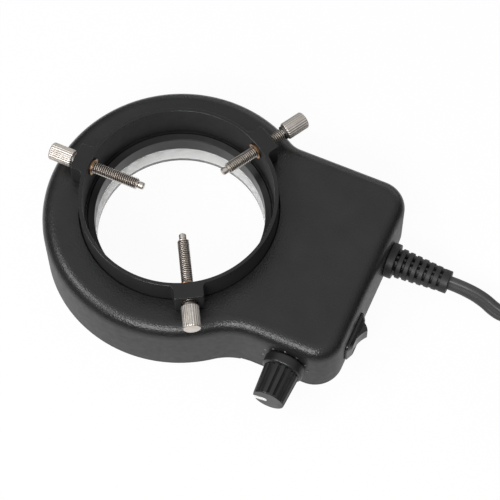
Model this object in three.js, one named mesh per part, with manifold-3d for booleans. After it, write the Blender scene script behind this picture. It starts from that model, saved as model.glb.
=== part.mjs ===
// LED ring lamp for a stereo microscope, with its control box, thumbscrews and mains cord.
// Millimetres, +Z up. The origin is on the lamp's optical axis, on the plane that it rests on.
// +X runs from the ring to the control box's back wall, and the knob is on the -Y side.

import * as THREE from 'three';
import { mergeVertices } from 'three/addons/utils/BufferGeometryUtils.js';
import Module from 'manifold-3d';

const wasm = await Module();
wasm.setup();

// Fits and cutting
const gap = 0.3;                // between pieces that touch
const overrun = 1;              // how far a cut passes the face that it opens
const weldDistance = 0.0001;    // vertices nearer than this are one

// Housing
const ringRadius = 47.5;
const ringWidth = 18;           // from the hole to the outside
const topFillet = 4;
const wall = 2;
const boxDepth = 23.45;         // from the ring's outside to the back wall
const nearWallSetback = 14.35;  // from the ring's -Y side to the near wall
const farWallSetback = 7.85;    // from the ring's +Y side to the far wall
const boxCornerRadius = 10;
const nearBlendRadius = 21;
const farBlendRadius = 8.3;
const ribCount = 6;
const ribThickness = 1.5;

// Clamp ring and its lugs
const clampSetback = 3.3;       // from the hole to the clamp ring's bore
const clampWall = 1.35;
const clampRise = 9.5;          // above the housing
const clampSink = 4.3;          // below the housing's top
const shelfThickness = 2;
const shelfHeadroom = 2.1;      // from the board to the shelf above it
const lugCount = 3;
const lugHalfWidth = 5.1;
const lugLength = 4.55;         // past the clamp ring
const lugFilletRadius = 2.2;
const lugCornerRadius = 0.8;

// Thumbscrews and bushes
const screwAxisDrop = 3.85;     // below the clamp ring's top
const screwReaches = [19.7, 19.7, 14.6];
const shankRadius = 1.85;
const pointRadius = 1.25;
const pointLength = 1.9;
const pointStemRadius = 0.7;
const pointStemLength = 3.2;
const headClearance = 1.2;      // from the lug to the head of the screw that is furthest in
const collarRadius = 2.5;
const collarThickness = 0.8;
const headRadius = 3.1;
const headLength = 8.4;
const headChamfer = 0.4;
const knurlCount = 20;
const knurlDepth = 0.25;
const bushRadius = 2.7;
const bushLipRadius = 2.95;
const bushLipThickness = 0.4;

// Inner sleeve
const sleeveWall = 1.4;
const sleeveLipWidth = 2.25;
const sleeveLipThickness = 1.3;
const sleeveLipFall = 0.8;
const sleeveDrop = 1.3;         // below the board

// Clear cover, board and lamps under the ring
const ledCoverBottom = 3.9;
const ledCoverWall = 1.1;
const boardThickness = 1.6;
const ledBoardSetback = 2.1;    // from the hole to the board
const ledRowShares = [0.22, 0.66];
const ledsPerRow = 28;
const ledRadius = 2.5;
const ledHeight = 8.6;
const ledTipClearance = 0.6;

// Bottom cover of the box
const bottomCoverThickness = 1.6;
const footWidth = 3.1;          // of the ring's wall under the box, to the cover's edge
const postRadius = 2.8;
const pilotRadius = 1.1;
const coverScrewShankRadius = 1.35;
const coverScrewHeadRadius = 2.5;
const coverScrewHeadHeight = 1.2;
const coverScrewLength = 8;
const coverScrewInset = 7;      // from the walls, in the box's back corners
const innerScrewInset = 6.2;    // from the far wall, beside the ring
const innerScrewOffset = 5.5;   // from the cover's arc
const knobScrewInset = 14.25;   // from the near wall, behind the brightness control
const knobScrewOffset = 3.3;    // from the cover's arc

// Driver board
const driverBoardInset = 6.45;  // from the back wall
const driverBoardSideMargin = 0.5;
const driverBoardEndMargin = 1.7;
const driverBoardClearance = 0.35; // from the cover screw's post in the far corner
const componentGap = 0.4;
const bossRadius = 2.6;
const bossLength = 2.2;
const boardScrewInset = 2.1;    // from the board's edges
const boardScrewShankRadius = 1;
const boardScrewHeadRadius = 2.1;
const boardScrewHeadHeight = 1.5;
const boardScrewLength = 4;
const transformerLength = 13;
const transformerHeight = 11;
const transformerCoreWidth = 8;
const transformerCoilShrink = 1.5;
const bulkCapacitorRadius = 4;
const bulkCapacitorHeight = 12;
const outputCapacitorRadius = 3.2;
const outputCapacitorHeight = 6.8;
const rectifierThickness = 4.7;
const rectifierWidth = 6.4;
const rectifierHeight = 2.6;

// Brightness control
const knobFromBack = 16.35;
const knobZ = 13.7;
const skirtRadius = 7.2;
const skirtHeight = 4.2;
const knobShoulderRadius = 6.2;
const knobEndRadius = 5.6;
const knobHeight = 15.4;
const knobEdgeRadius = 0.8;
const fluteCount = 16;
const fluteRadius = 0.75;
const fluteSides = 6;
const pointerWidth = 2;
const pointerDepth = 0.8;
const pointerSlot = 0.5;
const nutCavityRadius = 6.1;
const shaftRadius = 3;
const shaftNeckRadius = 2.6;
const shaftFlatDepth = 1.5;
const shaftDepthInKnob = 10.5;
const bushingRadius = 3.6;
const bushingLength = 4.4;
const potRadius = 6.5;
const potDepth = 8.5;
const potBoreDepth = 5;
const washerRadius = 5.6;
const washerThickness = 0.5;
const nutCornerDiameter = 11;
const nutSides = 6;
const nutThickness = 1.8;
const pointerAngle = THREE.MathUtils.degToRad(195);

// Rocker switch
const switchInset = 19.45;      // from the near wall
const switchZ = 9;
const bezelLength = 15.4;
const bezelHeight = 10.3;
const bezelThickness = 2;
const bezelEdgeThickness = 1;   // at its outline, from where it slopes up to the opening
const bezelCornerRadius = 0.8;
const switchBodyLength = 13.6;
const switchBodyHeight = 8.8;
const switchBodyDepth = 8.4;
const pocketHeight = 6.9;
const pocketDepth = 5.8;        // below the rocker's pivot
const rockerRadius = 5.85;
const rockerPivotDepth = 3.1;
const rockerCornerAngle = THREE.MathUtils.degToRad(47);
const rockerHollow = 0.8;
const rockerBelly = 2.4;
const rockerRestTilt = THREE.MathUtils.degToRad(17);
const pivotRadius = 0.9;
const terminalThickness = 0.8;
const terminalWidth = 4;
const terminalLength = 6.5;
const terminalOffset = 3.25;

// Strain relief
const reliefPlaceShare = 0.708;
const reliefZ = 8.3;
const reliefCollarRadius = 6.3;
const reliefCollarThickness = 2.9;
const reliefNeckRadius = 4.4;
const reliefInnerFlangeRadius = 5.6;
const reliefInnerFlangeThickness = 1.6;
const reliefLength = 22.6;
const reliefCoreStartRadius = 4.8;
const reliefCoreEndRadius = 3.85;
const reliefRibCount = 6;
const reliefRibStartRadius = 5.3;
const reliefRibEndRadius = 4.3;
const reliefRibThickness = 1.65;
const reliefRibPitch = 2.64;
const reliefFirstRib = 4;
const reliefEndCollarRadius = 4.1;
const reliefEndCollarLength = 2.75;

// Flat two-core cord
const cordWidth = 5.8;
const cordThickness = 3.3;
const loopPitch = 3.9;
const layerPitch = 6.4;
const coilTurns = 7.04;
const climbTurns = 0.5;
const coilOuterRadius = 38;
const coilEntryAngle = THREE.MathUtils.degToRad(120);
const tieThickness = 0.5;
const tieWidth = 7;
const tieAngle = THREE.MathUtils.degToRad(215);
const selfGapLeast = 0.4;

// Where the free stretch of the cord runs, from the strain relief to the coil: [x, y, z, degrees by
// which the cord's width leans from upright]
const leadRoute = [
  [93.85, 18.4, 8.3, -14], [96.5, 18.4, 8.3, -15], [100, 18.4, 7.9, -18], [103.8, 18.3, 7, -22],
  [107.5, 17.9, 5.7, -27], [110.5, 17.2, 4.6, -30], [113.5, 16.8, 3.8, -28], [117, 17.2, 3.6, -22],
  [121, 18.9, 3.6, -14], [125, 21.4, 3.7, -7], [129.5, 24.6, 3.7, -2], [134.5, 28.2, 3.7, 0],
  [139.5, 31.8, 3.7, 0], [144.5, 34.9, 3.7, 0],
];
// Where it runs on from the coil to the plug: [degrees round the coil, outwards from its outer loop,
// upwards from its upper layer]
const tailRoute = [
  [0, 0, 0], [10, 0.1, 0.3], [20, 0.2, 1.3], [30, 0.35, 2.9],
  [40, 0.4, 4.7], [48, 0.3, 6.1], [55, 0, 7.3], [61.7, -0.2, 8.5],
  [68.1, -1.4, 9.5], [74, -3.1, 10.2], [80, -4.9, 10.6], [84.9, -6.05, 10.7],
];

// Plug
const plugLength = 30;
const plugWidth = 24;
const plugThickness = 15;
const plugNoseRadius = 4.2;
const plugNoseLength = 9;
const plugCornerRadius = 3;
const bladeThickness = 1.5;
const bladeWidth = 6.3;
const bladeLength = 17;
const bladeSpacing = 12.7;
const bladeSocketDepth = 5;

// Leads inside the box, from the back wall and the middle of the box
const leadRadius = 0.8;
const liveLeadRoute = [
  [-4.25, 13.65, 8.3], [-4.95, 13.65, 8.3], [-5.95, 11.25, 8], [-6.95, 6.75, 7],
  [-8.95, -0.25, 6], [-13.95, -7.25, 7], [-17.55, -11.25, 8.5], [-17.55, -13.45, 9],
  [-16.05, -13.7, 9], [-15.25, -13.7, 9],
];
const neutralLeadRoute = [
  [-4.25, 16.65, 8.3], [-4.95, 16.65, 8.3], [-5.85, 18.25, 8.8], [-6.35, 21.75, 11],
  [-9.95, 24.75, 14], [-13.45, 24.75, 17.3], [-13.45, 24.75, 18.1],
];
const switchLeadRoute = [
  [-15.25, -20.2, 9], [-16.05, -20.2, 9], [-17.35, -19.25, 10], [-17.15, -15.25, 13],
  [-15.35, -11.25, 15.4], [-12.75, -7.65, 16.2], [-11.95, -7.05, 17.3], [-11.95, -7.05, 18.1],
];
const ledLeadRoute = [
  [-19.15, 25.15, 18.1], [-19.15, 25.15, 17.5], [-19.75, 24.35, 17], [-21.25, 21.15, 17.2],
  [-22.15, 16.75, 17.8], [-24.55, 13.35, 18.8], [-27.35, 12.25, 18.6], [-29.55, 11.65, 17.8],
  [-30.35, 11.35, 17], [-30.35, 11.35, 16.1],
];
const leadSlotWidth = 4;
const leadSlotOffset = 13.05;   // from the middle of the box

// Fineness of round shapes
const ringSteps = 48;
const pinSteps = 16;
const leadSides = 8;
const ledSides = 6;
const filletSteps = 3;
const reliefSteps = 12;
const loopSteps = 24;
const routeSteps = 2;
const arcStep = THREE.MathUtils.degToRad(9);
const fineArcStep = THREE.MathUtils.degToRad(30);

// Worked out from the sizes above
const turn = Math.PI * 2;
const rightAngle = Math.PI / 2;
const holeRadius = ringRadius - ringWidth;
const clampBoreRadius = holeRadius + clampSetback;
const clampOuterRadius = clampBoreRadius + clampWall;
const lugReach = clampOuterRadius + lugLength;
const sleeveLipRadius = holeRadius + sleeveLipWidth;
const ledBoardBottom = ledCoverBottom + ledCoverWall + ledTipClearance + ledHeight;
const sleeveBottom = ledBoardBottom - sleeveDrop;
const shelfBottom = ledBoardBottom + boardThickness + shelfHeadroom;
const shelfTop = shelfBottom + shelfThickness;
const clampBottom = shelfTop + gap;
const housingTop = clampBottom + clampSink;
const clampTop = housingTop + clampRise;
const screwAxisZ = clampTop - screwAxisDrop;
const underHeadLength = Math.max(...screwReaches) + clampWall + lugLength + headClearance;
const cavityTop = housingTop - wall;
const counterboreRadius = clampOuterRadius + gap;
const counterboreWallRadius = counterboreRadius + wall;
const channelRadius = ringRadius - wall;
const ribBottom = ledBoardBottom + boardThickness + gap;
const ledBoardInnerRadius = holeRadius + ledBoardSetback;
const coverSeatZ = bottomCoverThickness + gap;
const coverArcRadius = ringRadius + footWidth;
const backWallX = ringRadius + boxDepth;
const nearWallY = nearWallSetback - ringRadius;
const farWallY = ringRadius - farWallSetback;
const boxMiddleY = (nearWallY + farWallY) / 2;
const backInnerX = backWallX - wall;
const nearInnerY = nearWallY + wall;
const knobX = backWallX - knobFromBack;
const switchY = nearWallY + switchInset;
const reliefY = THREE.MathUtils.lerp(nearWallY, farWallY, reliefPlaceShare);
const rectifierStart = driverBoardSideMargin + bulkCapacitorRadius * 2 + componentGap;
const driverBoardWidth = rectifierStart + rectifierThickness + componentGap;
const bulkCapacitorStart = driverBoardEndMargin + outputCapacitorRadius * 2 + componentGap;
const transformerStart = bulkCapacitorStart + bulkCapacitorRadius * 2 + componentGap;
const driverBoardLength = transformerStart + transformerLength + componentGap + boardScrewInset * 2;
const driverBoardX = [backWallX - driverBoardInset - driverBoardWidth, backWallX - driverBoardInset];
const driverBoardFarY = farWallY - coverScrewInset - postRadius - driverBoardClearance;
const driverBoardY = [driverBoardFarY - driverBoardLength, driverBoardFarY];
const driverBoardTop = cavityTop - bossLength - gap;
const driverBoardBottom = driverBoardTop - boardThickness;
const componentTop = driverBoardBottom - gap;
const boardScrewPlaces = driverBoardY.map((edge, i) => (
  [driverBoardX[1] - boardScrewInset, edge + (i === 0 ? boardScrewInset : -boardScrewInset)]
));
const coverScrewPlaces = [
  [backWallX - coverScrewInset, nearWallY + coverScrewInset],
  [backWallX - coverScrewInset, farWallY - coverScrewInset],
  besideArc(farWallY - innerScrewInset, innerScrewOffset),
  besideArc(nearWallY + knobScrewInset, knobScrewOffset),
];
const leadSlotAngle = Math.asin((boxMiddleY + leadSlotOffset) / ringRadius);
const pointerLength = knobEndRadius - pointerSlot;
const coilBottomZ = tieThickness + gap + cordWidth / 2;
const coilTopZ = coilBottomZ + layerPitch;
const coilCentreX = leadRoute.at(-1)[0] + gap * Math.sin(coilEntryAngle) - coilOuterRadius * Math.cos(coilEntryAngle);
const coilCentreY = leadRoute.at(-1)[1] - gap * Math.cos(coilEntryAngle) - coilOuterRadius * Math.sin(coilEntryAngle);

// The place with this y that lies outside the bottom cover's arc by the offset
function besideArc(y, offset) {
  return [Math.sqrt((coverArcRadius + offset) ** 2 - y ** 2), y];
}

// Building blocks

function toSolid(geometry) {
  const plain = geometry.index ? geometry.toNonIndexed() : geometry.clone();
  plain.deleteAttribute('normal');
  plain.deleteAttribute('uv');
  const merged = mergeVertices(plain, weldDistance);
  const corners = merged.index.array;
  const kept = [];
  for (let i = 0; i < corners.length; i += 3) {
    const [a, b, c] = [corners[i], corners[i + 1], corners[i + 2]];
    if (a !== b && b !== c && c !== a) kept.push(a, b, c);
  }
  const mesh = new wasm.Mesh({
    numProp: 3,
    vertProperties: new Float32Array(merged.attributes.position.array),
    triVerts: new Uint32Array(kept),
  });
  return new wasm.Manifold(mesh);
}

function toGeometry(solid) {
  const mesh = solid.getMesh();
  const geometry = new THREE.BufferGeometry();
  geometry.setAttribute('position', new THREE.BufferAttribute(new Float32Array(mesh.vertProperties), 3));
  geometry.setIndex(new THREE.BufferAttribute(new Uint32Array(mesh.triVerts), 1));
  return geometry;
}

function join(...pieces) {
  return toGeometry(pieces.map(toSolid).reduce((sum, piece) => sum.add(piece)));
}

function cut(piece, ...tools) {
  return toGeometry(tools.map(toSolid).reduce((rest, tool) => rest.subtract(tool), toSolid(piece)));
}

function common(first, second) {
  return toGeometry(toSolid(first).intersect(toSolid(second)));
}

// A solid of revolution about Z. The profile is a list of [radius, height], anticlockwise.
// It starts half a step round, so that no edge of a bore runs along an edge of what it crosses.
function turned(profile, steps = ringSteps) {
  const points = profile.map(([radius, height]) => new THREE.Vector2(radius, height));
  points.push(points[0].clone());
  return new THREE.LatheGeometry(points, steps, Math.PI / steps, turn).rotateX(rightAngle);
}

function disc(radius, bottom, top, steps = ringSteps) {
  return turned([[0, bottom], [radius, bottom], [radius, top], [0, top]], steps);
}

function tube(inner, outer, bottom, top, steps = ringSteps) {
  return turned([[inner, bottom], [outer, bottom], [outer, top], [inner, top]], steps);
}

function block(xs, ys, zs) {
  const size = [xs, ys, zs].map(([low, high]) => high - low);
  const middle = [xs, ys, zs].map(([low, high]) => (low + high) / 2);
  return new THREE.BoxGeometry(...size).translate(...middle);
}

function prism(points, bottom, top) {
  const shape = new THREE.Shape(points);
  const settings = { depth: top - bottom, bevelEnabled: false };
  return new THREE.ExtrudeGeometry(shape, settings).translate(0, 0, bottom);
}

// Turns a piece that was made along +Z to lie along +X, or along -Y.
function alongX(geometry) {
  return geometry.rotateY(rightAngle);
}

function alongNearY(geometry) {
  return geometry.rotateX(rightAngle);
}

function arc(centreX, centreY, radius, from, to, step = arcStep) {
  const count = Math.max(2, Math.ceil(Math.abs(to - from) / step));
  const points = [];
  for (let i = 0; i <= count; i += 1) {
    const angle = from + (to - from) * i / count;
    points.push(new THREE.Vector2(centreX + radius * Math.cos(angle), centreY + radius * Math.sin(angle)));
  }
  return points;
}

function roundedRectangle(width, height, radius, step = fineArcStep) {
  const x = width / 2 - radius;
  const y = height / 2 - radius;
  return [
    ...arc(x, y, radius, 0, rightAngle, step),
    ...arc(-x, y, radius, rightAngle, Math.PI, step),
    ...arc(-x, -y, radius, Math.PI, Math.PI + rightAngle, step),
    ...arc(x, -y, radius, Math.PI + rightAngle, turn, step),
  ];
}

// A smooth curve through places of [x, y, z].
function curveThrough(places) {
  return new THREE.CatmullRomCurve3(places.map((place) => new THREE.Vector3(...place)), false, 'centripetal');
}

const parts = new THREE.Group();

function finish(color, roughness, metalness) {
  return new THREE.MeshStandardMaterial({ color, roughness, metalness });
}

const looks = {
  shell: finish(0x1b1b1c, 0.5, 0),
  clamp: finish(0x19191a, 0.4, 0.2),
  sleeve: finish(0x262627, 0.3, 0),
  nickel: finish(0xc9c2b6, 0.28, 1),
  brass: finish(0xa8754a, 0.35, 1),
  clear: finish(0xe6e9ea, 0.1, 0),
  board: finish(0xe9e8e0, 0.6, 0),
  green: finish(0x1f5a37, 0.6, 0),
  rubber: finish(0x1c1c1d, 0.6, 0),
  knob: finish(0x1e1e1f, 0.45, 0),
  gloss: finish(0x161617, 0.25, 0),
  white: finish(0xf4f4f2, 0.5, 0),
  steel: finish(0xb4b5b6, 0.35, 1),
  yellow: finish(0xcfae3c, 0.6, 0),
  wire: finish(0x7a3b22, 0.5, 0),
};

function add(name, geometry, material, group = parts) {
  const mesh = new THREE.Mesh(geometry, material);
  mesh.name = name;
  mesh.geometry.computeVertexNormals();
  group.add(mesh);
  return mesh;
}

// Housing: ring and control box in one shell, open underneath

function footprint(inset) {
  const radius = ringRadius - inset;
  const near = nearWallY + inset;
  const far = farWallY - inset;
  const back = backWallX - inset;
  const corner = boxCornerRadius - inset;
  const nearBlend = nearBlendRadius + inset;
  const farBlend = farBlendRadius + inset;
  const nearCentreY = near - nearBlend;
  const farCentreY = far + farBlend;
  const nearCentreX = Math.sqrt((radius + nearBlend) ** 2 - nearCentreY ** 2);
  const farCentreX = Math.sqrt((radius + farBlend) ** 2 - farCentreY ** 2);
  const nearAngle = Math.atan2(nearCentreY, nearCentreX);
  const farAngle = Math.atan2(farCentreY, farCentreX);
  return [
    ...arc(0, 0, radius, farAngle, nearAngle + turn),
    ...arc(nearCentreX, nearCentreY, nearBlend, nearAngle + Math.PI, rightAngle).slice(1),
    ...arc(back - corner, near + corner, corner, -rightAngle, 0),
    ...arc(back - corner, far - corner, corner, 0, rightAngle),
    ...arc(farCentreX, farCentreY, farBlend, -rightAngle, farAngle - Math.PI).slice(0, -1),
  ];
}

function housingBlank() {
  const rounded = new THREE.ExtrudeGeometry(new THREE.Shape(footprint(topFillet)), {
    depth: housingTop - topFillet,
    bevelEnabled: true,
    bevelThickness: topFillet,
    bevelSize: topFillet,
    bevelSegments: filletSteps,
  });
  const reach = backWallX + ringRadius;
  const below = block([-reach, reach], [-reach, reach], [-topFillet - overrun, 0]);
  return cut(rounded, below);
}

// The box's inside, outside the ring's wall, and the seat of its bottom cover
function boxCavity() {
  const inside = prism(footprint(wall), -overrun, cavityTop);
  const seat = prism(footprint(-overrun), -overrun, coverSeatZ);
  const ringWall = disc(ringRadius, -overrun * 2, housingTop);
  const ringFloor = disc(coverArcRadius - gap, -overrun * 2, housingTop);
  return [cut(inside, ringWall), cut(seat, ringFloor)];
}

// A foot of the ring's wall inside the box, which the bottom cover's edge follows
function ringFoot() {
  const foot = tube(ringRadius - gap, coverArcRadius - gap * 2, 0, coverSeatZ);
  return common(foot, prism(footprint(wall / 2), 0, coverSeatZ));
}

function potAxis(geometry) {
  return alongNearY(geometry).translate(knobX, 0, knobZ);
}

function housing() {
  const stepped = turned([
    [0, -overrun], [channelRadius, -overrun], [channelRadius, cavityTop], [counterboreWallRadius, cavityTop],
    [counterboreWallRadius, shelfBottom], [holeRadius + sleeveWall + gap, shelfBottom],
    [holeRadius + sleeveWall + gap, shelfTop - sleeveLipThickness], [sleeveLipRadius + gap, shelfTop - sleeveLipThickness],
    [sleeveLipRadius + gap, shelfTop], [counterboreRadius, shelfTop], [counterboreRadius, housingTop + overrun],
    [0, housingTop + overrun],
  ]);
  let shell = cut(housingBlank(), stepped, ...boxCavity());
  const additions = [ringFoot()];
  for (let i = 0; i < ribCount; i += 1) {
    const rib = block(
      [counterboreWallRadius - wall / 2, channelRadius + wall / 2],
      [-ribThickness / 2, ribThickness / 2],
      [ribBottom, cavityTop + gap],
    );
    additions.push(rib.rotateZ(turn * (i + 0.5) / ribCount));
  }
  for (const [x, y] of coverScrewPlaces) {
    additions.push(disc(postRadius, coverSeatZ, cavityTop + gap, pinSteps).translate(x, y, 0));
  }
  for (const [x, y] of boardScrewPlaces) {
    additions.push(disc(bossRadius, cavityTop - bossLength, cavityTop + gap, pinSteps).translate(x, y, 0));
  }
  shell = join(shell, ...additions);
  const openings = [];
  for (const [x, y] of coverScrewPlaces) {
    const depth = coverSeatZ + coverScrewLength;
    openings.push(disc(coverScrewShankRadius + gap, 0, depth, pinSteps).translate(x, y, 0));
  }
  for (const [x, y] of boardScrewPlaces) {
    openings.push(disc(boardScrewShankRadius + gap, 0, cavityTop + wall / 2, pinSteps).translate(x, y, 0));
  }
  openings.push(potAxis(disc(bushingRadius + gap, -nearInnerY - overrun, -nearWallY + overrun, pinSteps)));
  openings.push(block(
    [backInnerX - overrun, backWallX + overrun],
    [switchY - switchBodyLength / 2 - gap, switchY + switchBodyLength / 2 + gap],
    [switchZ - switchBodyHeight / 2 - gap, switchZ + switchBodyHeight / 2 + gap],
  ));
  openings.push(alongX(disc(reliefNeckRadius + gap, backInnerX - overrun, backWallX + overrun, pinSteps))
    .translate(0, reliefY, reliefZ));
  openings.push(block(
    [channelRadius - overrun, ringRadius + overrun],
    [-leadSlotWidth / 2, leadSlotWidth / 2],
    [ribBottom, cavityTop - gap],
  ).rotateZ(leadSlotAngle));
  return cut(shell, ...openings);
}

function bottomCover() {
  const plate = prism(footprint(gap / 2), 0, bottomCoverThickness);
  const ringCut = disc(coverArcRadius, -overrun, bottomCoverThickness + overrun);
  const holes = coverScrewPlaces.map(([x, y]) => {
    const head = coverScrewHeadRadius + gap;
    const shank = coverScrewShankRadius + gap;
    return turned([
      [0, -overrun], [head, -overrun], [head, gap], [shank, coverScrewHeadHeight + gap / 2],
      [shank, bottomCoverThickness + overrun],
      [0, bottomCoverThickness + overrun],
    ], pinSteps).translate(x, y, 0);
  });
  return cut(plate, ringCut, ...holes);
}

function coverScrew() {
  const top = coverScrewLength;
  const head = coverScrewHeadRadius;
  const shank = coverScrewShankRadius;
  return turned([
    [0, 0], [head, 0], [head, gap], [shank, coverScrewHeadHeight], [shank, top - shank], [0, top],
  ], pinSteps);
}

// Clamp ring with three lugs, each bored for a bush

function lugOutline() {
  const fillet = lugFilletRadius;
  const filletY = lugHalfWidth + fillet;
  const meetRadius = clampOuterRadius - gap / 2;
  const filletX = Math.sqrt((meetRadius + fillet) ** 2 - filletY ** 2);
  const filletAngle = Math.atan2(filletY, filletX);
  const rootRadius = clampBoreRadius + clampWall / 2;
  const cornerX = lugReach - lugCornerRadius;
  const cornerY = lugHalfWidth - lugCornerRadius;
  const upper = [
    ...arc(cornerX, cornerY, lugCornerRadius, 0, rightAngle, fineArcStep),
    ...arc(filletX, filletY, fillet, -rightAngle, filletAngle - Math.PI, fineArcStep),
  ];
  const lower = upper.map((point) => new THREE.Vector2(point.x, -point.y)).reverse();
  return [...upper, ...arc(0, 0, rootRadius, filletAngle, -filletAngle), ...lower];
}

function screwAxis(geometry, index) {
  return alongX(geometry).translate(0, 0, screwAxisZ).rotateZ(Math.PI + turn * index / lugCount);
}

function clampRing() {
  const lugBottom = housingTop + gap;
  let body = tube(clampBoreRadius, clampOuterRadius, clampBottom, clampTop);
  for (let i = 0; i < lugCount; i += 1) {
    body = join(body, prism(lugOutline(), lugBottom, clampTop).rotateZ(Math.PI + turn * i / lugCount));
  }
  const bores = [];
  for (let i = 0; i < lugCount; i += 1) {
    bores.push(screwAxis(disc(bushRadius + gap, holeRadius, lugReach + overrun, pinSteps), i));
  }
  return cut(body, ...bores);
}

function bush() {
  const lipTop = Math.sqrt(clampBoreRadius ** 2 - bushLipRadius ** 2) - gap;
  const lipBottom = lipTop - bushLipThickness;
  const bore = shankRadius + gap;
  return turned([
    [bore, lipBottom], [bushLipRadius, lipBottom], [bushLipRadius, lipTop], [bushRadius, lipTop],
    [bushRadius, lugReach - gap], [bore, lugReach - gap],
  ], pinSteps);
}

// Thumbscrew, along +Z from the tip of its point at zero

function screwPoint() {
  const end = pointLength + pointStemLength;
  return turned([
    [0, 0], [pointRadius, 0], [pointRadius, pointLength], [pointStemRadius, pointLength], [pointStemRadius, end], [0, end],
  ], pinSteps);
}

function knurledHead() {
  const bottom = underHeadLength;
  const top = underHeadLength + headLength;
  const points = [];
  for (let i = 0; i < knurlCount * 2; i += 1) {
    const radius = i % 2 === 0 ? headRadius : headRadius - knurlDepth;
    const angle = turn * i / (knurlCount * 2);
    points.push(new THREE.Vector2(radius * Math.cos(angle), radius * Math.sin(angle)));
  }
  const envelope = turned([
    [0, bottom], [headRadius - headChamfer, bottom], [headRadius + gap, bottom + headChamfer],
    [headRadius + gap, top - headChamfer], [headRadius - headChamfer, top], [0, top],
  ], pinSteps);
  return common(prism(points, bottom, top), envelope);
}

function thumbscrew() {
  const start = pointLength + gap;
  const tipChamfer = shankRadius - pointRadius;
  const body = turned([
    [0, start], [pointRadius, start], [shankRadius, start + tipChamfer], [shankRadius, underHeadLength - collarThickness],
    [collarRadius, underHeadLength - collarThickness], [collarRadius, underHeadLength + headChamfer],
    [0, underHeadLength + headChamfer],
  ], pinSteps);
  const bore = disc(pointStemRadius + gap, 0, pointLength + pointStemLength + gap, pinSteps);
  return cut(join(body, knurledHead()), bore);
}

// Parts in the ring

function innerSleeve() {
  const outer = holeRadius + sleeveWall;
  const lipTop = clampBottom;
  return turned([
    [holeRadius, sleeveBottom], [outer, sleeveBottom], [outer, shelfTop - sleeveLipThickness + gap],
    [sleeveLipRadius, shelfTop - sleeveLipThickness + gap], [sleeveLipRadius, lipTop], [holeRadius, lipTop - sleeveLipFall],
  ]);
}

function ledCover() {
  const outer = channelRadius - gap;
  const floorTop = ledCoverBottom + ledCoverWall;
  return turned([
    [holeRadius, ledCoverBottom], [outer, ledCoverBottom], [outer, ledBoardBottom - gap],
    [outer - ledCoverWall, ledBoardBottom - gap], [outer - ledCoverWall, floorTop], [holeRadius + ledCoverWall, floorTop],
    [holeRadius + ledCoverWall, sleeveBottom - gap], [holeRadius, sleeveBottom - gap],
  ]);
}

function ledBoard() {
  const outerRadius = channelRadius - gap;
  const plate = tube(ledBoardInnerRadius, outerRadius, ledBoardBottom, ledBoardBottom + boardThickness);
  const tip = ledBoardBottom - ledHeight;
  const lamp = turned([
    [0, tip], [ledRadius * Math.SQRT1_2, tip + ledRadius * (1 - Math.SQRT1_2)], [ledRadius, tip + ledRadius],
    [ledRadius, ledBoardBottom + boardThickness / 2], [0, ledBoardBottom + boardThickness / 2],
  ], ledSides);
  let board = toSolid(plate);
  ledRowShares.forEach((share, row) => {
    const radius = THREE.MathUtils.lerp(ledBoardInnerRadius, outerRadius, share);
    for (let i = 0; i < ledsPerRow; i += 1) {
      const angle = turn * (i + row / 2) / ledsPerRow;
      board = board.add(toSolid(lamp.clone().translate(radius, 0, 0).rotateZ(angle)));
    }
  });
  return toGeometry(board);
}

// Driver board and what it carries

function driverBoard() {
  const plate = block(driverBoardX, driverBoardY, [driverBoardBottom, driverBoardTop]);
  const holes = boardScrewPlaces.map(([x, y]) => (
    disc(boardScrewShankRadius + gap, driverBoardBottom - overrun, driverBoardTop + overrun, pinSteps).translate(x, y, 0)
  ));
  return cut(plate, ...holes);
}

function boardScrew() {
  const headBottom = componentTop - boardScrewHeadHeight;
  const tip = componentTop + boardScrewLength;
  return turned([
    [0, headBottom], [boardScrewHeadRadius, headBottom], [boardScrewHeadRadius, componentTop],
    [boardScrewShankRadius, componentTop], [boardScrewShankRadius, tip], [0, tip],
  ], pinSteps);
}

function transformerBody() {
  const core = transformerCoreWidth / 2;
  const half = transformerLength / 2;
  const coil = half - transformerCoilShrink;
  const bottom = componentTop - transformerHeight;
  const yoke = block([-core, core], [-half, half], [bottom, componentTop]);
  const bobbin = block(
    [-half, half],
    [-coil, coil],
    [bottom + transformerCoilShrink, componentTop - transformerCoilShrink],
  );
  return join(yoke, bobbin);
}

function capacitor(radius, height) {
  return disc(radius, componentTop - height, componentTop, pinSteps);
}

function rectifierBody() {
  const half = [rectifierThickness / 2, rectifierWidth / 2];
  return block([-half[0], half[0]], [-half[1], half[1]], [componentTop - rectifierHeight, componentTop]);
}

// Stands a component on the driver board, so far across it and along it.
function onBoard(mesh, across, along) {
  mesh.position.x = driverBoardX[0] + across;
  mesh.position.y = driverBoardY[0] + along;
}

// Brightness control. Its pieces are made along +Z, with zero at the outside of the near wall.

function potBody() {
  const face = -wall - gap;
  const can = disc(potRadius, face - potDepth, face, pinSteps * 2);
  const bushing = disc(bushingRadius, face - wall, bushingLength, pinSteps);
  const bore = disc(shaftNeckRadius + gap, face - potBoreDepth, bushingLength + overrun, pinSteps);
  return cut(join(can, bushing), bore);
}

function potShaft() {
  const neckBottom = -wall - potBoreDepth;
  const shoulder = bushingLength + gap;
  const end = shaftDepthInKnob + gap;
  const shaft = turned([
    [0, neckBottom], [shaftNeckRadius, neckBottom], [shaftNeckRadius, shoulder], [shaftRadius, shoulder],
    [shaftRadius, end], [0, end],
  ], pinSteps);
  const flat = block(
    [shaftRadius - shaftFlatDepth, shaftRadius + overrun],
    [-shaftRadius - overrun, shaftRadius + overrun],
    [shoulder + overrun, end + overrun],
  );
  return cut(shaft, flat);
}

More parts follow.
